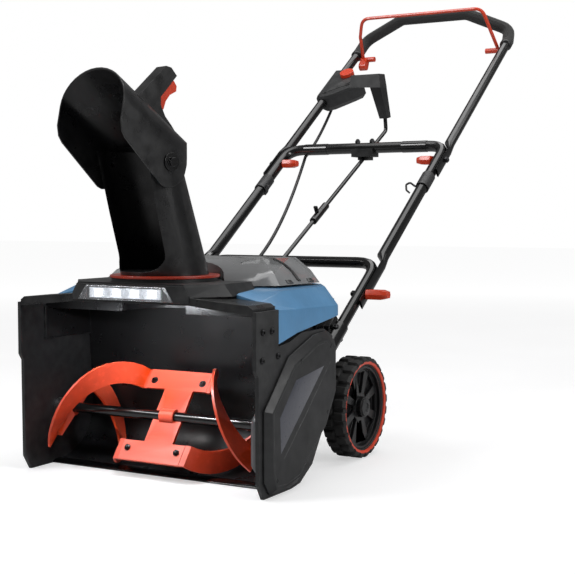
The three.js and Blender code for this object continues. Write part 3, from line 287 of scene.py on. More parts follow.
def moulded_plastic(name, tone, roughness, grain=1300.0):
    """Moulded plastic with a spark-eroded grain, handling marks, and paler patches on convex edges
    that are part wear and part painted highlight.
    """
    shader = Shader(name, Specular_IOR_Level=0.42)
    cloud = shader.noise(11.0, detail=5.0)
    marked = shader.ramp(cloud, 0.35, 0.7, tone, toned(tone, 1.35, lift=0.001))
    patches = shader.between(shader.noise(60.0), 0.3, 0.7)
    # Paler patches on convex edges: part wear, part painted edge highlight.
    scuffs_and_highlights = shader.times(shader.worn_and_highlit_edges(), patches)
    shader.set_colour(shader.colours(scuffs_and_highlights, marked, towards_grey(tone, 0.105)))
    handled = shader.noise(35.0, detail=6.0)
    shader.set_roughness(handled, 0.3, 0.7, roughness - 0.06, roughness + 0.1)
    shader.bump(shader.noise(grain, detail=2.0), strength=0.25, depth=0.0001)
    shader.bump(shader.noise(28.0, detail=2.0), strength=0.08, depth=0.0005)
    return shader.material


def smooth_plastic(name, tone, roughness):
    """Polished moulding: a faint flow pattern, fine scratches, and convex edges made lighter, part
    rubbed wear and part painted highlight.
    """
    shader = Shader(name, Coat_Weight=0.25, Coat_Roughness=0.12)
    flow = shader.noise(16.0, detail=4.0)
    flowing = shader.ramp(flow, 0.35, 0.65, toned(tone, 0.82), tone)
    # A lighter tone on convex edges: part rubbed wear, part painted edge highlight.
    rubbed_and_highlit = toned(tone, 1.15, lift=0.02)
    shader.set_colour(shader.colours(shader.times(shader.worn_and_highlit_edges(), 0.5), flowing, rubbed_and_highlit))
    scratches = shader.noise(90.0, detail=3.0, place=shader.stretched((1.0, 7.0, 1.0)))
    shader.set_roughness(scratches, 0.3, 0.75, roughness - 0.06, roughness + 0.12)
    shader.bump(shader.noise(700.0, detail=2.0), strength=0.12, depth=0.00008)
    return shader.material


def scuffed_rubber(name, tone):
    """The auger's orange-red moulding: darker clouds, stretched scrape marks, and much paler convex
    edges that are part scraped wear and part painted highlight.
    """
    shader = Shader(name, Specular_IOR_Level=0.3)
    cloud = shader.noise(14.0, detail=5.0, roughness=0.6)
    mottled = shader.ramp(cloud, 0.32, 0.62, toned(tone, 0.62), tone)
    scrape = shader.noise(30.0, detail=5.0, place=shader.stretched((0.35, 3.0, 3.0)))
    scraped = shader.ramp(scrape, 0.56, 0.8, mottled, toned(tone, 1.15, lift=0.02))
    # Convex edges painted much paler: part scraped wear, part painted edge highlight.
    rubbed_and_highlit = shader.times(shader.worn_and_highlit_edges(0.51, 0.58), 0.75)
    shader.set_colour(shader.colours(rubbed_and_highlit, scraped, toned(tone, 1.2, lift=0.10)))
    shader.set_roughness(scrape, 0.3, 0.75, 0.28, 0.5)
    shader.bump(scrape, strength=0.25, depth=0.0006)
    shader.bump(shader.noise(500.0), strength=0.15, depth=0.0001)
    return shader.material


def tube_paint(name):
    """Gloss black powder coat: a fine orange peel under a clear, slightly dusty surface."""
    shader = Shader(name, Coat_Weight=0.2, Coat_Roughness=0.08, Specular_IOR_Level=0.5)
    dust = shader.noise(22.0, detail=6.0)
    clean, dusty = (0.0025, 0.0025, 0.0028), (0.006, 0.006, 0.0065)
    shader.set_colour(shader.ramp(dust, 0.45, 0.8, clean, dusty))
    shader.set_roughness(dust, 0.3, 0.8, 0.16, 0.26)
    shader.bump(shader.noise(260.0, detail=1.0), strength=0.05, depth=0.0001)
    return shader.material


def brushed_metal(name, tone):
    """Turned or drawn steel with fine lines."""
    shader = Shader(name, Metallic=1.0)
    lines = shader.noise(160.0, detail=4.0, place=shader.stretched((1.0, 1.0, 18.0)))
    shader.set_colour(shader.colours(lines, toned(tone, 0.7), tone))
    shader.set_roughness(lines, 0.3, 0.7, 0.22, 0.42)
    shader.bump(lines, strength=0.15, depth=0.0001)
    return shader.material


def tyre_rubber(name):
    """Matt rubber, greyer where it is dusty."""
    shader = Shader(name)
    dust = shader.noise(38.0, detail=6.0, roughness=0.65)
    clean, dusty = (0.011, 0.011, 0.011), (0.034, 0.033, 0.032)
    shader.set_colour(shader.ramp(dust, 0.4, 0.75, clean, dusty))
    shader.set_roughness(dust, 0.3, 0.8, 0.62, 0.85)
    shader.bump(shader.noise(900.0, detail=2.0), strength=0.4, depth=0.0002)
    shader.bump(dust, strength=0.2, depth=0.0004)
    return shader.material


def foam_rubber(name):
    """Closed-cell foam: a skin of tiny pores, painted darker inside as shade, and soft dents."""
    shader = Shader(name, Sheen_Weight=0.12, Sheen_Roughness=0.5)
    pores = shader.cells(950.0)
    # The pores' middles are painted darker: painted shade in the pores.
    pore_shade, high = (0.008, 0.008, 0.008), (0.024, 0.024, 0.024)
    shader.set_colour(shader.ramp(pores, 0.1, 0.7, pore_shade, high))
    shader.set_roughness(pores, 0.0, 0.8, 0.75, 0.95)
    shader.bump(pores, strength=0.7, depth=0.0004)
    shader.bump(shader.noise(45.0), strength=0.3, depth=0.001)
    return shader.material


def smoked_plastic(name):
    """The lid: a smoky clear moulding that shows what is under it only faintly."""
    shader = Shader(
        name, Transmission_Weight=0.3, IOR=ACRYLIC_INDEX, Coat_Weight=0.5, Coat_Roughness=0.05,
    )
    haze = shader.noise(9.0, detail=4.0)
    shader.set_colour(shader.ramp(haze, 0.3, 0.7, (0.24, 0.245, 0.25), (0.36, 0.365, 0.37)))
    shader.set_roughness(shader.noise(70.0, detail=5.0), 0.3, 0.7, 0.07, 0.18)
    shader.bump(shader.noise(18.0), strength=0.06, depth=0.0008)
    return shader.material


def clear_plastic(name):
    """The headlight's lens, with fine upright flutes."""
    shader = Shader(
        name, Transmission_Weight=0.9, IOR=ACRYLIC_INDEX, Base_Color=(0.95, 0.97, 1.0, 1),
    )
    shader.set_roughness(shader.noise(120.0), 0.3, 0.7, 0.03, 0.12)
    shader.bump(shader.flutes(60.0), strength=0.2, depth=0.0006)
    return shader.material


def lit_chip(name):
    """A lit light-emitting diode, a little uneven in its brightness."""
    shader = Shader(name, Base_Color=(0.9, 0.92, 0.95, 1), Emission_Color=(1.0, 0.98, 0.94, 1))
    shader.set_glow(shader.between(shader.noise(260.0), 0.3, 0.7, 14.0, 20.0))
    return shader.material


def lamp_reflector(name):
    """Frosted white reflector with a painted glow, which stands in for the light of its lamps."""
    shader = Shader(name, Emission_Color=(0.93, 0.96, 1.0, 1))
    frost = shader.noise(180.0, detail=4.0)
    shader.set_colour(shader.colours(frost, (0.80, 0.82, 0.86), (0.92, 0.93, 0.95)))
    shader.set_roughness(frost, 0.3, 0.7, 0.15, 0.3)
    # Painted glow: the reflector is no lamp, its emission stands in for the chips' light.
    shader.set_glow(shader.between(frost, 0.3, 0.7, 0.25, 0.5))
    shader.bump(shader.noise(420.0), strength=0.3, depth=0.0002)
    return shader.material


def circuit_board(name):
    """Lacquered board: dark green, with paler tracks along the edges of its cells."""
    shader = Shader(name, Coat_Weight=0.4, Coat_Roughness=0.2)
    tracks = shader.cells(160.0, feature="DISTANCE_TO_EDGE")
    track, lacquer = (0.09, 0.22, 0.10), (0.015, 0.09, 0.045)
    shader.set_colour(shader.ramp(tracks, 0.02, 0.12, track, lacquer))
    shader.set_roughness(tracks, 0.0, 0.3, 0.45, 0.3)
    shader.bump(tracks, strength=0.3, depth=0.0002)
    return shader.material


def make_materials():
    """Every material by the record's slot name, and a few more that only looks need."""
    return {
        "black_plastic": moulded_plastic("black_moulding", BLACK_TONE, roughness=0.30),
        "dark_plastic": moulded_plastic("charcoal_moulding", CHARCOAL_TONE, 0.40, grain=900.0),
        "grey_plastic": moulded_plastic("grey_moulding", GREY_TONE, roughness=0.4),
        "blue_plastic": smooth_plastic("blue_moulding", BLUE_TONE, roughness=0.36),
        "auger_red": scuffed_rubber("auger_moulding", AUGER_TONE),
        "ring_red": smooth_plastic("red_moulding", RED_TONE, roughness=0.3),
        "orange_plastic": smooth_plastic("orange_moulding", ORANGE_TONE, roughness=0.3),
        "smoked_plastic": smoked_plastic("smoked_moulding"),
        "clear_plastic": clear_plastic("lens_moulding"),
        "black_paint": tube_paint("gloss_tube_paint"),
        "steel": brushed_metal("turned_steel", STEEL_TONE),
        "tyre_rubber": tyre_rubber("tyre_compound"),
        "belt_rubber": tyre_rubber("belt_compound"),
        "foam": foam_rubber("grip_foam"),
        "board_green": circuit_board("circuit_board"),
        "cable": moulded_plastic("cable_jacket", CABLE_TONE, roughness=0.45, grain=1800.0),
        "lit_chip": lit_chip("lit_chip"),
        "reflector": lamp_reflector("lamp_reflector"),
        "panel_grey": smooth_plastic("panel_grey", PANEL_TONE, roughness=0.32),
        "tyre_ring": smooth_plastic("tyre_ring_orange", ORANGE_TONE, roughness=0.45),
        "dark_screw": brushed_metal("blackened_screw", SCREW_TONE),
    }


# ---------------------------------------------------------------- pieces

CREASE_DEGREES = 40
ROUNDING = {"weld": 3e-6, "flat_degrees": 0.8, "width": 0.0008, "segments": 2, "edge_degrees": 30}


def smooth_mesh(name, bm, material):
    """Turns a bmesh into a smoothly shaded mesh with its faces turned outwards."""
    bmesh.ops.recalc_face_normals(bm, faces=bm.faces)
    mesh = bpy.data.meshes.new(name)
    bm.to_mesh(mesh)
    bm.free()
    mesh.materials.append(material)
    mesh.polygons.foreach_set("use_smooth", [True] * len(mesh.polygons))
    return mesh


def piece(name, bm, body, material):
    """Turns a bmesh into a piece that rides on a body."""
    mesh = smooth_mesh(name, bm, material)
    mesh.set_sharp_from_angle(angle=math.radians(CREASE_DEGREES))
    made = in_scene(name, mesh)
    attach(made, body)
    return made


def round_edges(made):
    """Bevels a piece's sharp edges and evens out its shading."""
    bevel = made.modifiers.new("rounded_edges", "BEVEL")
    bevel.width = ROUNDING["width"]
    bevel.segments = ROUNDING["segments"]
    bevel.limit_method = "ANGLE"
    bevel.angle_limit = math.radians(ROUNDING["edge_degrees"])
    bevel.use_clamp_overlap = True
    bevel.harden_normals = False
    made.modifiers.new("even_shading", "WEIGHTED_NORMAL").keep_sharp = False


def rounded_copy(node, body, material):
    """A copy of a CAD node with its points welded, its flat faces joined and its edges rounded."""
    bm = bmesh.new()
    bm.from_mesh(frame["nodes"][node].data)
    bmesh.ops.remove_doubles(bm, verts=bm.verts, dist=ROUNDING["weld"])
    flat = math.radians(ROUNDING["flat_degrees"])
    bmesh.ops.dissolve_limit(bm, angle_limit=flat, verts=bm.verts, edges=bm.edges)
    made = piece(node + "_skin", bm, body, material)
    round_edges(made)
    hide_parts(node)
    return made


# ---------------------------------------------------------------- shapes

def circle(count):
    """Angles spread evenly round a circle."""
    return [2 * math.pi * i / count for i in range(count)]


def round_ring(radius, sides=12):
    """Points (side, lift) on a circle."""
    return [(radius * math.cos(turn), radius * math.sin(turn)) for turn in circle(sides)]


def ridge_ring(half_foot, half_top, foot, top):
    """A ridge's cross-section, as (side, lift) points: wide at the foot, narrower at the top."""
    return [(-half_foot, foot), (half_foot, foot), (half_top, top), (-half_top, top)]


def bridge(bm, rings):
    """Joins each ring of points to the next one with faces."""
    for low, high in zip(rings, rings[1:]):
        for i in range(len(low)):
            j = (i + 1) % len(low)
            bm.faces.new((low[i], low[j], high[j], high[i]))


def capped(bm, rings):
    """Joins rings of points into a solid, with a cap on the first and on the last."""
    bridge(bm, rings)
    bm.faces.new(rings[0])
    bm.faces.new(rings[-1])


def points_of(bm, places):
    """New points of a bmesh at these places."""
    return [bm.verts.new(place) for place in places]


def across(axis):
    """Two directions square to an axis and to each other."""
    first = axis.orthogonal().normalized()
    return first, axis.cross(first)


def add_lathe(bm, base, axis, profile, sides=20, closed=False):
    """Revolves (radius, height) points round an axis.

    A closed profile comes back to its first point and makes a ring. Any other one gets caps.
    """
    base, axis = Vector(base), Vector(axis).normalized()
    first, second = across(axis)
    rim = [first * math.cos(turn) + second * math.sin(turn) for turn in circle(sides)]
    rings = [
        points_of(bm, [base + axis * height + out * radius for out in rim])
        for radius, height in profile
    ]
    if closed:
        bridge(bm, rings + rings[:1])
    else:
        capped(bm, rings)


def add_sweep(bm, path, ring, up=None):
    """Sweeps a closed ring of (side, lift) points along a path, and caps both ends."""
    rings = []
    side = None
    for i, point in enumerate(path):
        along = (path[min(i + 1, len(path) - 1)] - path[max(i - 1, 0)]).normalized()
        if up is not None:
            side = along.cross(up).normalized()
        elif side is None:
            side = along.orthogonal().normalized()
        else:
            side = (side - along * side.dot(along)).normalized()
        lift = side.cross(along)
        rings.append(points_of(bm, [point + side * u + lift * v for u, v in ring]))
    capped(bm, rings)


PLATE_SHOULDER = 0.6  # a plate's sides are straight up to this share of its rise


def add_plate(bm, outline, rise, bevel):
    """A raised plate: a flat outline, lifted by rise, with its top edge drawn in by bevel."""
    middle = sum(outline, Vector()) / len(outline)
    shoulder = [p + rise * PLATE_SHOULDER for p in outline]
    top = [p + (middle - p).normalized() * bevel + rise for p in outline]
    capped(bm, [points_of(bm, layer) for layer in (outline, shoulder, top)])


# Points of each profile are shares of the fastener's radius and of its height.
SCREW_PROFILE = ((1.25, 0), (1.25, 0.2), (1, 0.22), (0.95, 0.7), (0.72, 1), (0.42, 1), (0.36, 0.45))
NUT_PROFILE = ((1, 0), (1, 0.55), (0.86, 0.62))
NUT_DOME_PROFILE = ((0.7, 0.5), (0.68, 0.8), (0.45, 0.95), (0.2, 1.0))


def add_scaled(bm, base, axis, radius, height, profile, sides):
    """Revolves a profile that is given in shares of a radius and of a height."""
    add_lathe(bm, base, axis, [(radius * r, height * h) for r, h in profile], sides)


def add_screw(bm, base, axis, radius, height):
    """A domed screw head with a socket in it, on a thin washer."""
    add_scaled(bm, base, axis, radius, height, SCREW_PROFILE, sides=20)


def add_nut(bm, base, axis, radius, height):
    """A six-sided nut with a domed cap."""
    add_scaled(bm, base, axis, radius, height, NUT_PROFILE, sides=6)
    add_scaled(bm, base, axis, radius, height, NUT_DOME_PROFILE, sides=16)


def surface_of(node):
    """A CAD node's surface, to find points on it."""
    mesh = frame["nodes"][node].data
    faces = [face.vertices[:] for face in mesh.polygons]
    return BVHTree.FromPolygons([v.co for v in mesh.vertices], faces)


def first_hit(surface, start, direction):
    """Where a straight line first meets the surface, or None."""
    return surface.ray_cast(start, direction)[0]


def add_ridge(bm, hits, ring, up):
    """Sweeps a ridge along the points that were found on a surface."""
    add_sweep(bm, [place for place in hits if place], ring, up)


def row_of(start, step, count):
    """A row of evenly spaced places, each a pair of numbers."""
    return [(start[0] + step[0] * i, start[1] + step[1] * i) for i in range(count)]


# ---------------------------------------------------------------- cables

def bezier(start, pull_a, pull_b, end, steps):
    """Points along a cubic curve."""
    points = []
    for i in range(steps + 1):
        t = i / steps
        weights = ((1 - t) ** 3, 3 * t * (1 - t) ** 2, 3 * t * t * (1 - t), t ** 3)
        parts = [p * w for p, w in zip((start, pull_a, pull_b, end), weights)]
        points.append(sum(parts, Vector()))
    return points


def cable_mesh(name, path, material):
    """A mesh tube along a path, not yet joined to any body."""
    bm = bmesh.new()
    add_sweep(bm, path, round_ring(CABLE_RADIUS))
    made = in_scene(name, smooth_mesh(name, bm, material))
    return made


def declare_cable(node):
    """Hides the CAD node that a run stands for."""
    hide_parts(node)


def make_cables(materials):
    """The power cable: one run on the upper handle, and one that curves from the machine up to the
    handle.
    """
    boss = on_handle(-0.201, 0.773, -0.036)
    crossing = on_handle(-0.157, 0.512, -0.017)
    gland = spot(-0.038, 0.392, 0.3235)

    below_boss, above_crossing = on_handle(-0.199, 0.70, -0.052), on_handle(-0.170, 0.59, -0.034)
    upper = bezier(boss, below_boss, above_crossing, crossing, steps=24)
    run = cable_mesh("power_cable_upper_run", upper, materials["cable"])
    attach(run, "upper_section")
    declare_cable("power_cable_upper")

    behind_gland, below_crossing = spot(-0.018, 0.460, 0.352), on_handle(-0.120, 0.30, -0.045)
    lower = bezier(gland, behind_gland, below_crossing, crossing, steps=36)
    run = cable_mesh("power_cable_lower_run", lower, materials["cable"])
    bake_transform(run)
    declare_cable("power_cable_lower")


# ---------------------------------------------------------------- the CAD nodes' looks

SLOT_OF = {row["node"]: row["material_slot"] for row in frame["record"]["subparts"]}
BODIES = frame["record"]["behaviour"]["bodies"]
BODY_OF = {node: body for body, nodes in BODIES.items() for node in nodes}

MADE_OTHERWISE = {"power_cable_upper", "power_cable_lower", "tyre_left", "tyre_right"}


def look_of(node, materials):
    """A node's material: its slot's own, but the tube clips are as dull as the cable."""
    return materials["cable" if node.startswith("tube_clip") else SLOT_OF[node]]


def dress_nodes(materials):
    """Gives every CAD node a rounded copy, but for those made in their own way."""
    for node in frame["nodes"]:
        if node in MADE_OTHERWISE:
            continue
        made = rounded_copy(node, BODY_OF[node], look_of(node, materials))


# ---------------------------------------------------------------- wheels

TREAD = {"blocks": 24, "steps_per_block": 8, "raised_steps": 5, "depth": 0.0042}
TYRE = {
    "bead_inset": 0.006, "bulge_inset": 0.001, "bulge_height": 0.007,
    "shoulder_inset": 0.004, "shoulder_drop": 0.005,
    "groove_half_top": 0.003, "groove_half_bottom": 0.0015,
}

# Profiles of (radius, height over the wheel's outer face).
TYRE_RING_PROFILE = (
    (0.0785, -0.006), (0.0790, -0.0022), (0.0802, -0.0014),
    (0.0838, -0.0006), (0.0846, -0.0016), (0.0846, -0.006),
)
HUB_CAP_PROFILE = (
    (0.0165, -0.0032), (0.0160, -0.0012), (0.0120, -0.0004), (0.0085, -0.0004), (0.0075, -0.0018),
)


def tread_radius(step, side, radius):
    """The tread's radius at one step round: the blocks are half a block apart on the two sides."""
    shift = TREAD["steps_per_block"] // 2 if side < 0 else 0
    phase = (step + shift) % TREAD["steps_per_block"]
    return radius if phase < TREAD["raised_steps"] else radius - TREAD["depth"]


def half_section(side, step, half, radius):
    """Points (x, radius) of half a tyre's section, from the rim round to the middle groove."""
    rim = WHEEL["rim_radius"]
    top = tread_radius(step, side, radius)
    outline = (
        (half - TYRE["bead_inset"], rim),
        (half - TYRE["bulge_inset"], rim + TYRE["bulge_height"]),
        (half, top - TYRE["shoulder_drop"]),
        (half - TYRE["shoulder_inset"], top),
        (TYRE["groove_half_top"], top),
        (TYRE["groove_half_bottom"], radius - TREAD["depth"]),
    )
    return [(side * x, r) for x, r in outline]


def treaded_tyre(word, material):
    """A tyre with two rows of blocks, inside its CAD node's outline."""
    node = "tyre_" + word
    low, high = (Vector(corner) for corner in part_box(node))
    middle = (low + high) / 2
    half, radius = (high.x - low.x) / 2, (high.z - low.z) / 2
    bm = bmesh.new()
    rings = []
    for step, turn in enumerate(circle(TREAD["blocks"] * TREAD["steps_per_block"])):
        right, left = (half_section(side, step, half, radius) for side in SIDES)
        out = Vector((0, math.cos(turn), math.sin(turn)))
        section = [middle + LEFT * x + out * r for x, r in right + left[::-1]]
        rings.append(points_of(bm, section))
    bridge(bm, rings + rings[:1])
    made = piece(node + "_treaded", bm, "wheel_" + word, material)
    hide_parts(node)


def wheel_trim(word, side, materials):
    """The orange ring on a wheel's outer face, and its hub cap."""
    hub = spot(side * WHEEL["outer_face"], AXLE["y"], AXLE["z"])
    bm = bmesh.new()
    add_lathe(bm, hub, side * LEFT, TYRE_RING_PROFILE, sides=72, closed=True)
    piece("wheel_ring_" + word, bm, "wheel_" + word, materials["tyre_ring"])
    bm = bmesh.new()
    add_lathe(bm, hub, side * LEFT, HUB_CAP_PROFILE, sides=28)
    piece("hub_cap_" + word, bm, "wheel_" + word, materials["dark_plastic"])


# ---------------------------------------------------------------- lamp

LAMP_CELLS_X = (-0.054, -0.018, 0.018, 0.054)
LAMP_FRONT, LAMP_BACK = -0.0110, -0.0084

# A reflector's rings, from its back edge over its front down to its bottom: y, half width, z's.
REFLECTOR_RINGS = (
    (LAMP_BACK, 0.0172, 0.3085, 0.3252),
    (LAMP_FRONT, 0.0172, 0.3085, 0.3252),
    (LAMP_FRONT, 0.0150, 0.3100, 0.3240),
    (LAMP_BACK + 0.0004, 0.0075, 0.3135, 0.3205),
)
CHIP_BASE = (LAMP_BACK - 0.0001, 0.006, 0.3142, 0.3198)
CHIP_HEIGHT = 0.0012


def rectangle(x, y, half_width, low, high):
    """The corners of an upright rectangle that faces forwards."""
    corners = ((-half_width, low), (half_width, low), (half_width, high), (-half_width, high))
    return [spot(x + u, y, z) for u, z in corners]


def lamp_insides(materials):
    """Four reflector cells behind the lens with a painted glow, each with a lit chip at its bottom.
    """
    cells, chips = bmesh.new(), bmesh.new()
    forwards = Vector((0, -1, 0))
    for x in LAMP_CELLS_X:
        capped(cells, [points_of(cells, rectangle(x, *ring)) for ring in REFLECTOR_RINGS])
        add_plate(chips, rectangle(x, *CHIP_BASE), forwards * CHIP_HEIGHT, bevel=0.0012)
    piece("lamp_reflectors", cells, "chassis", materials["reflector"])
    piece("lamp_chips", chips, "chassis", materials["lit_chip"])


# ---------------------------------------------------------------- belt cover and side plate trim

# The places on the cover and on the side plates are (y, z) in millimetres.
COVER_FACE_X = 0.2525
COVER_FACE_OUTLINE = [
    (31, 38), (29, 136), (98, 203), (181, 233), (214, 236), (243, 219),
    (243, 145), (208, 91), (157, 56), (116, 20), (72, 12), (42, 14),
]
COVER_MIDDLE = (137, 118)
BORDER_INSET = 0.045  # the share of the way from the outline to the cover's middle
BLANK_PANEL = [(55, 68), (52, 125), (104, 179), (200, 192)]
COVER_RIDGE = ((64, 58), (140, 122), (222, 196))
COVER_SCREWS = ((122, 208), (45, 27), (226, 222), (214, 112))
FRONT_SCREWS = ((18, 218), (67, 221), (20, 262), (48, 262))
RIGHT_PLATE_SCREWS = ((40, 60), (150, 70), (120, 190), (60, 130))


def on_plate(face_x, y, z):
    """A point on an upright side face at face_x metres, with y and z in millimetres."""
    return spot(face_x, y / 1000, z / 1000)


def on_cover(y, z, lift):
    """A point over the belt cover's outer face, with y and z in millimetres."""
    return on_plate(COVER_FACE_X + lift, y, z)


def cover_border():
    """Points round the belt cover, a little inside its outline and back to the first."""
    inset = [
        [a + (centre - a) * BORDER_INSET for a, centre in zip(corner, COVER_MIDDLE)]
        for corner in COVER_FACE_OUTLINE
    ]
    return inset + inset[:1]


def cover_trim(materials):
    """The cover's raised border, its blank grey panel and the ridge beside the panel."""
    bm = bmesh.new()
    border_ring = ridge_ring(half_foot=0.0011, half_top=0.0007, foot=-0.0003, top=0.0003)
    add_sweep(bm, [on_cover(y, z, -0.0002) for y, z in cover_border()], border_ring, up=LEFT)
    panel_ridge_ring = ridge_ring(half_foot=0.0016, half_top=0.0010, foot=-0.0003, top=0.0003)
    add_sweep(bm, [on_cover(y, z, -0.0002) for y, z in COVER_RIDGE], panel_ridge_ring, up=LEFT)
    piece("belt_cover_border", bm, "chassis", materials["black_plastic"])
    bm = bmesh.new()
    panel = [on_cover(y, z, -0.0003) for y, z in BLANK_PANEL]
    add_plate(bm, panel, rise=LEFT * 0.0006, bevel=0.0015)
    piece("blank_panel", bm, "chassis", materials["panel_grey"])


def side_screws(materials):
    """Screws on the belt cover and on both side plates."""
    bm = bmesh.new()
    for y, z in COVER_SCREWS:
        add_screw(bm, on_cover(y, z, -0.0014), LEFT, radius=0.0042, height=0.0017)
    for side in SIDES:
        for y, z in FRONT_SCREWS:
            place = on_plate(side * HOUSING_HALF_WIDTH, y, z)
            add_screw(bm, place, side * LEFT, radius=0.0048, height=0.0032)
    for y, z in RIGHT_PLATE_SCREWS:
        add_screw(bm, on_plate(-HOUSING_HALF_WIDTH, y, z), -LEFT, radius=0.0042, height=0.0028)
    piece("side_screws", bm, "chassis", materials["dark_screw"])


# ---------------------------------------------------------------- fasteners on the handle

FOLD_NUT = {"radius": 0.0068, "height": 0.0085}
SLEEVE_PROFILE = ((0.0115, 0), (0.0128, 0.0004), (0.0128, 0.0586), (0.0115, 0.059))


def leg_fasteners(materials):
    """Nuts and screws through the leg brackets, and the nuts of the lower fold."""
    bm = bmesh.new()
    leg_x, half_depth, fold_face_x = 0.1925, 0.0135, 0.1822
    for side in SIDES:
        for s in (-0.112, -0.150):
            below = on_handle(side * leg_x, s, -half_depth)
            above = on_handle(side * leg_x, s, half_depth)
            add_nut(bm, below, -OVER_THE_HANDLE, radius=0.0062, height=0.008)
            add_screw(bm, above, OVER_THE_HANDLE, radius=0.0055, height=0.004)
        add_nut(bm, on_handle(side * fold_face_x, 0), -side * LEFT, **FOLD_NUT)
    piece("leg_fasteners", bm, "chassis", materials["dark_screw"])


def crank_bracket_bolts(materials):
    """The two nuts on top of the crank's bracket."""
    bm = bmesh.new()
    half_spacing, bracket_top = 0.018, 0.0112
    for side in SIDES:
        place = on_handle(side * half_spacing, CROSSBAR_S) + UP * bracket_top
        add_nut(bm, place, UP, radius=0.0062, height=0.010)
    piece("crank_bracket_bolts", bm, "middle_section", materials["dark_screw"])


def crossbar_sleeves(materials):
    """The two thicker lengths of the upper crossbar."""
    bm = bmesh.new()
    sleeve_start_x = 0.093
    for side in SIDES:
        place = on_handle(side * sleeve_start_x, CROSSBAR_S)
        add_lathe(bm, place, side * LEFT, SLEEVE_PROFILE, sides=28, closed=True)
    piece("crossbar_sleeves", bm, "middle_section", materials["black_paint"])


def upper_fold_nuts(materials):
    """The nuts on the outer sides of the upper fold."""
    bm = bmesh.new()
    fold_face_x = 0.2128
    for side in SIDES:
        add_nut(bm, on_handle(side * fold_face_x, UPPER_FOLD_S), side * LEFT, **FOLD_NUT)
    piece("upper_fold_nuts", bm, "upper_section", materials["dark_screw"])


# ---------------------------------------------------------------- auger

BLADE_DEGREES = (53, 233)
AUGER_BOLT = {"half_spacing": 0.050, "radius": 0.066, "half_blade": 0.0024}


def auger_bolts(materials):
    """The bolts that hold the flights and the centre paddle's blades."""
    bm = bmesh.new()
    for degrees in BLADE_DEGREES:
        turn = math.radians(degrees)
        out = Vector((0, math.cos(turn), math.sin(turn)))
        flat = Vector((0, -math.sin(turn), math.cos(turn)))
        for side in SIDES:
            shaft = spot(side * AUGER_BOLT["half_spacing"], AUGER["y"], AUGER["z"])
            place = shaft + out * AUGER_BOLT["radius"]
            skin = flat * AUGER_BOLT["half_blade"]
            add_screw(bm, place + skin, flat, radius=0.0052, height=0.004)
            add_nut(bm, place - skin, -flat, radius=0.0056, height=0.0055)
    piece("auger_bolts", bm, "auger", materials["dark_screw"])


# ---------------------------------------------------------------- lid

OVER_THE_LID = 0.5  # a height from which lines are dropped onto the lid
BESIDE_THE_LID = 0.3
PAD_MIDDLES_Y = (0.206, 0.272)
PAD_CORNERS = ((-0.009, 0.3270), (0.009, 0.3270), (0.007, 0.3330), (-0.007, 0.3330))
PAD_RISE = (0.0012, 0, 0.0008)

# Rows of (x, y) places on the lid's left half, mirrored on its right half.
LID_RIB = {"start": (0.112, 0.246), "step": (0.008, -0.0009), "count": 10}
LID_CREASE = {"start": (0.090, 0.200), "step": (0.006, 0.006), "count": 7}


def on_lid(surface, side, row):
    """The lid's points under a row of places, on one side."""
    starts = [spot(side * x, y, OVER_THE_LID) for x, y in row_of(**row)]
    return [first_hit(surface, start, DOWN) for start in starts]


def add_lid_pad(bm, surface, side, y):
    """A small raised pad at the lid's lower edge."""
    starts = [spot(side * BESIDE_THE_LID, y + u, z) for u, z in PAD_CORNERS]
    hits = [first_hit(surface, start, -side * LEFT) for start in starts]
    if all(hits):
        out, back, up = PAD_RISE
        add_plate(bm, hits, rise=Vector((side * out, back, up)), bevel=0.001)


def lid_ribs(materials):
    """Black ribs down both flanks of the lid and the pads at its lower edge."""
    surface = surface_of("battery_lid")
    bm = bmesh.new()
    rib_ring = ridge_ring(half_foot=0.005, half_top=0.0036, foot=-0.0008, top=0.0014)
    for side in SIDES:
        leaning_out = Vector((side * 0.6, 0, 1))
        add_ridge(bm, on_lid(surface, side, LID_RIB), rib_ring, up=leaning_out)
        for y in PAD_MIDDLES_Y:
            add_lid_pad(bm, surface, side, y)
    piece("lid_ribs", bm, "lid", materials["black_plastic"])


def lid_creases(materials):
    """Two fine raised creases on the lid, in its own plastic."""
    surface = surface_of("battery_lid")
    bm = bmesh.new()
    crease_ring = ridge_ring(half_foot=0.002, half_top=0.001, foot=-0.0006, top=0.0010)
    for side in SIDES:
        add_ridge(bm, on_lid(surface, side, LID_CREASE), crease_ring, up=UP)
    piece("lid_creases", bm, "lid", materials["smoked_plastic"])


# ---------------------------------------------------------------- handle controls

# Places (x, s) on the handle's plane under the switch box, in rows or one by one.
SWITCH_RIDGE = {"start": (-0.206, 0.748), "step": (0.0088, 0.0062), "count": 10}
VENT = {"start": (-0.160, 0.777), "step": (0.003, 0.0065), "count": 4}
VENT_SLAT = {"step": (0.007, 0.005), "count": 4}
SWITCH_SCREWS = ((-0.196, 0.752), (-0.128, 0.806))
FOAM_END = {"x": 0.2010, "s": 0.9610}
FOAM_END_PROFILE = (
    (0.0112, 0), (0.0132, 0.0005), (0.0146, 0.0022), (0.0146, 0.0052), (0.0112, 0.0060),
)


def on_switch_box(surface, x, s):
    """The point of the switch box's top that is over a place on the handle's plane."""
    clear_of_the_box = 0.08
    return first_hit(surface, on_handle(x, s, clear_of_the_box), -OVER_THE_HANDLE)


def switch_ridges(surface, materials):
    """A long ridge over the switch box, and the four slats of its vent."""
    bm = bmesh.new()
    ring = ridge_ring(half_foot=0.0016, half_top=0.0009, foot=-0.0006, top=0.0010)
    slats = [row_of(start, **VENT_SLAT) for start in row_of(**VENT)]
    for row in [row_of(**SWITCH_RIDGE), *slats]:
        hits = [on_switch_box(surface, x, s) for x, s in row]
        add_ridge(bm, hits, ring, up=OVER_THE_HANDLE)
    piece("switch_box_ridges", bm, "upper_section", materials["black_plastic"])


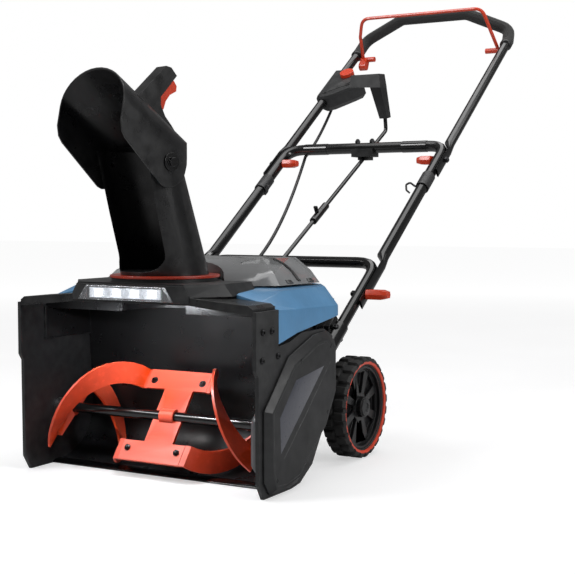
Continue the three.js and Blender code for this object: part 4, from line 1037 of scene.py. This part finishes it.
def switch_screws(surface, materials):
    """Two small screws on the switch box."""
    bm = bmesh.new()
    for x, s in SWITCH_SCREWS:
        place = on_switch_box(surface, x, s)
        if place:
            add_screw(bm, place, OVER_THE_HANDLE, radius=0.0034, height=0.0018)
    piece("switch_box_screws", bm, "upper_section", materials["dark_screw"])


def switch_trim(materials):
    """The raised details of the switch box."""
    surface = surface_of("switch_box")
    switch_ridges(surface, materials)
    switch_screws(surface, materials)


def foam_ends(materials):
    """A moulded ring where each end of the foam meets the tube."""
    bm = bmesh.new()
    for side in SIDES:
        place = on_handle(side * FOAM_END["x"], FOAM_END["s"])
        add_lathe(bm, place, UP_THE_HANDLE, FOAM_END_PROFILE, sides=28, closed=True)
    piece("foam_end_rings", bm, "upper_section", materials["black_plastic"])


# ---------------------------------------------------------------- studio

WHITE = (1, 1, 1, 1)
LAMP_WHITE = (0.93, 0.96, 1.0)
SKY_STRENGTH = 0.17
FLOOR_HALF_SIZE = 14
FLOOR_GAP = 0.0004  # the floor lies this far under the tyres, so that they don't cut it


def floor_material():
    """Pale grey to the light; to the camera it turns to white with the distance."""
    shader = Shader("pale_floor", Emission_Color=WHITE)
    cloud = shader.noise(3.0)
    shader.set_colour(shader.colours(cloud, (0.54, 0.54, 0.545), (0.57, 0.57, 0.575)))
    shader.set_roughness(cloud, 0.2, 0.8, 0.5, 0.65)
    seen = shader.add("ShaderNodeLightPath").outputs["Is Camera Ray"]
    distance = shader.add("ShaderNodeVectorMath", operation="LENGTH")
    shader.feed(shader.place, distance.inputs[0])
    fade = shader.between(distance.outputs["Value"], 1.2, 4.5, 0.52, 0.86)
    shader.set_glow(shader.times(fade, seen))
    return shader.material


def make_floor():
    """A wide flat floor."""
    bm = bmesh.new()
    bmesh.ops.create_grid(bm, x_segments=2, y_segments=2, size=FLOOR_HALF_SIZE)
    mesh = bpy.data.meshes.new("floor")
    bm.to_mesh(mesh)
    bm.free()
    mesh.materials.append(floor_material())
    floor = in_scene("floor", mesh)
    floor.location.z = -FLOOR_GAP


def area_light(name, place, target, size, power, colour=(1, 1, 1)):
    """A rectangular lamp of (width, height) that looks at its target; the power is in watts."""
    data = bpy.data.lights.new(name, "AREA")
    data.shape = "RECTANGLE"
    data.size, data.size_y = size
    data.energy = power
    data.color = colour
    light = in_scene(name, data)
    light.location = place
    aim = Vector(target) - Vector(place)
    light.rotation_euler = aim.to_track_quat("-Z", "Y").to_euler()


def make_world():
    """A white backdrop to the camera, and a much dimmer sky to everything else."""
    world = bpy.data.worlds.new("studio")
    world.use_nodes = True
    nodes, links = world.node_tree.nodes, world.node_tree.links
    dim, white = nodes["Background"], nodes.new("ShaderNodeBackground")
    for sky, strength in ((dim, SKY_STRENGTH), (white, 1.0)):
        sky.inputs["Color"].default_value = WHITE
        sky.inputs["Strength"].default_value = strength
    seen = nodes.new("ShaderNodeLightPath")
    mix = nodes.new("ShaderNodeMixShader")
    links.new(seen.outputs["Is Camera Ray"], mix.inputs[0])
    links.new(dim.outputs["Background"], mix.inputs[1])
    links.new(white.outputs["Background"], mix.inputs[2])
    links.new(mix.outputs["Shader"], nodes["World Output"].inputs["Surface"])
    return world


def make_lights():
    """Three softboxes round the machine, and the headlight's glow in the auger's mouth."""
    low_middle = (0, 0, 0.3)
    area_light("key_softbox", (-1.5, -1.9, 2.4), low_middle, size=(1.1, 1.1), power=52)
    area_light("top_softbox", (0.2, 0.6, 2.8), low_middle, size=(2.4, 2.4), power=44)
    area_light("side_softbox", (2.6, -0.4, 1.5), (0, 0, 0.35), size=(0.6, 1.8), power=34)
    under_the_lamp, auger_mouth = spot(0, 0.001, 0.2995), spot(0, 0.13, 0.12)
    area_light("lamp_glow", under_the_lamp, auger_mouth, (0.15, 0.010), 1.5, LAMP_WHITE)


def make_studio():
    """The floor, the backdrop and the lights."""
    make_floor()
    bpy.context.scene.world = make_world()
    bpy.context.scene.view_settings.view_transform = "Standard"
    make_lights()


# ---------------------------------------------------------------- build

make_camera()
materials = make_materials()
make_cables(materials)
dress_nodes(materials)
for word, side in (("left", 1), ("right", -1)):
    treaded_tyre(word, materials["tyre_rubber"])
    wheel_trim(word, side, materials)

TRIM = (
    lamp_insides, cover_trim, side_screws, leg_fasteners, crank_bracket_bolts, crossbar_sleeves,
    upper_fold_nuts, auger_bolts, lid_ribs, lid_creases, switch_trim, foam_ends,
)
for make_trim in TRIM:
    make_trim(materials)
make_studio()
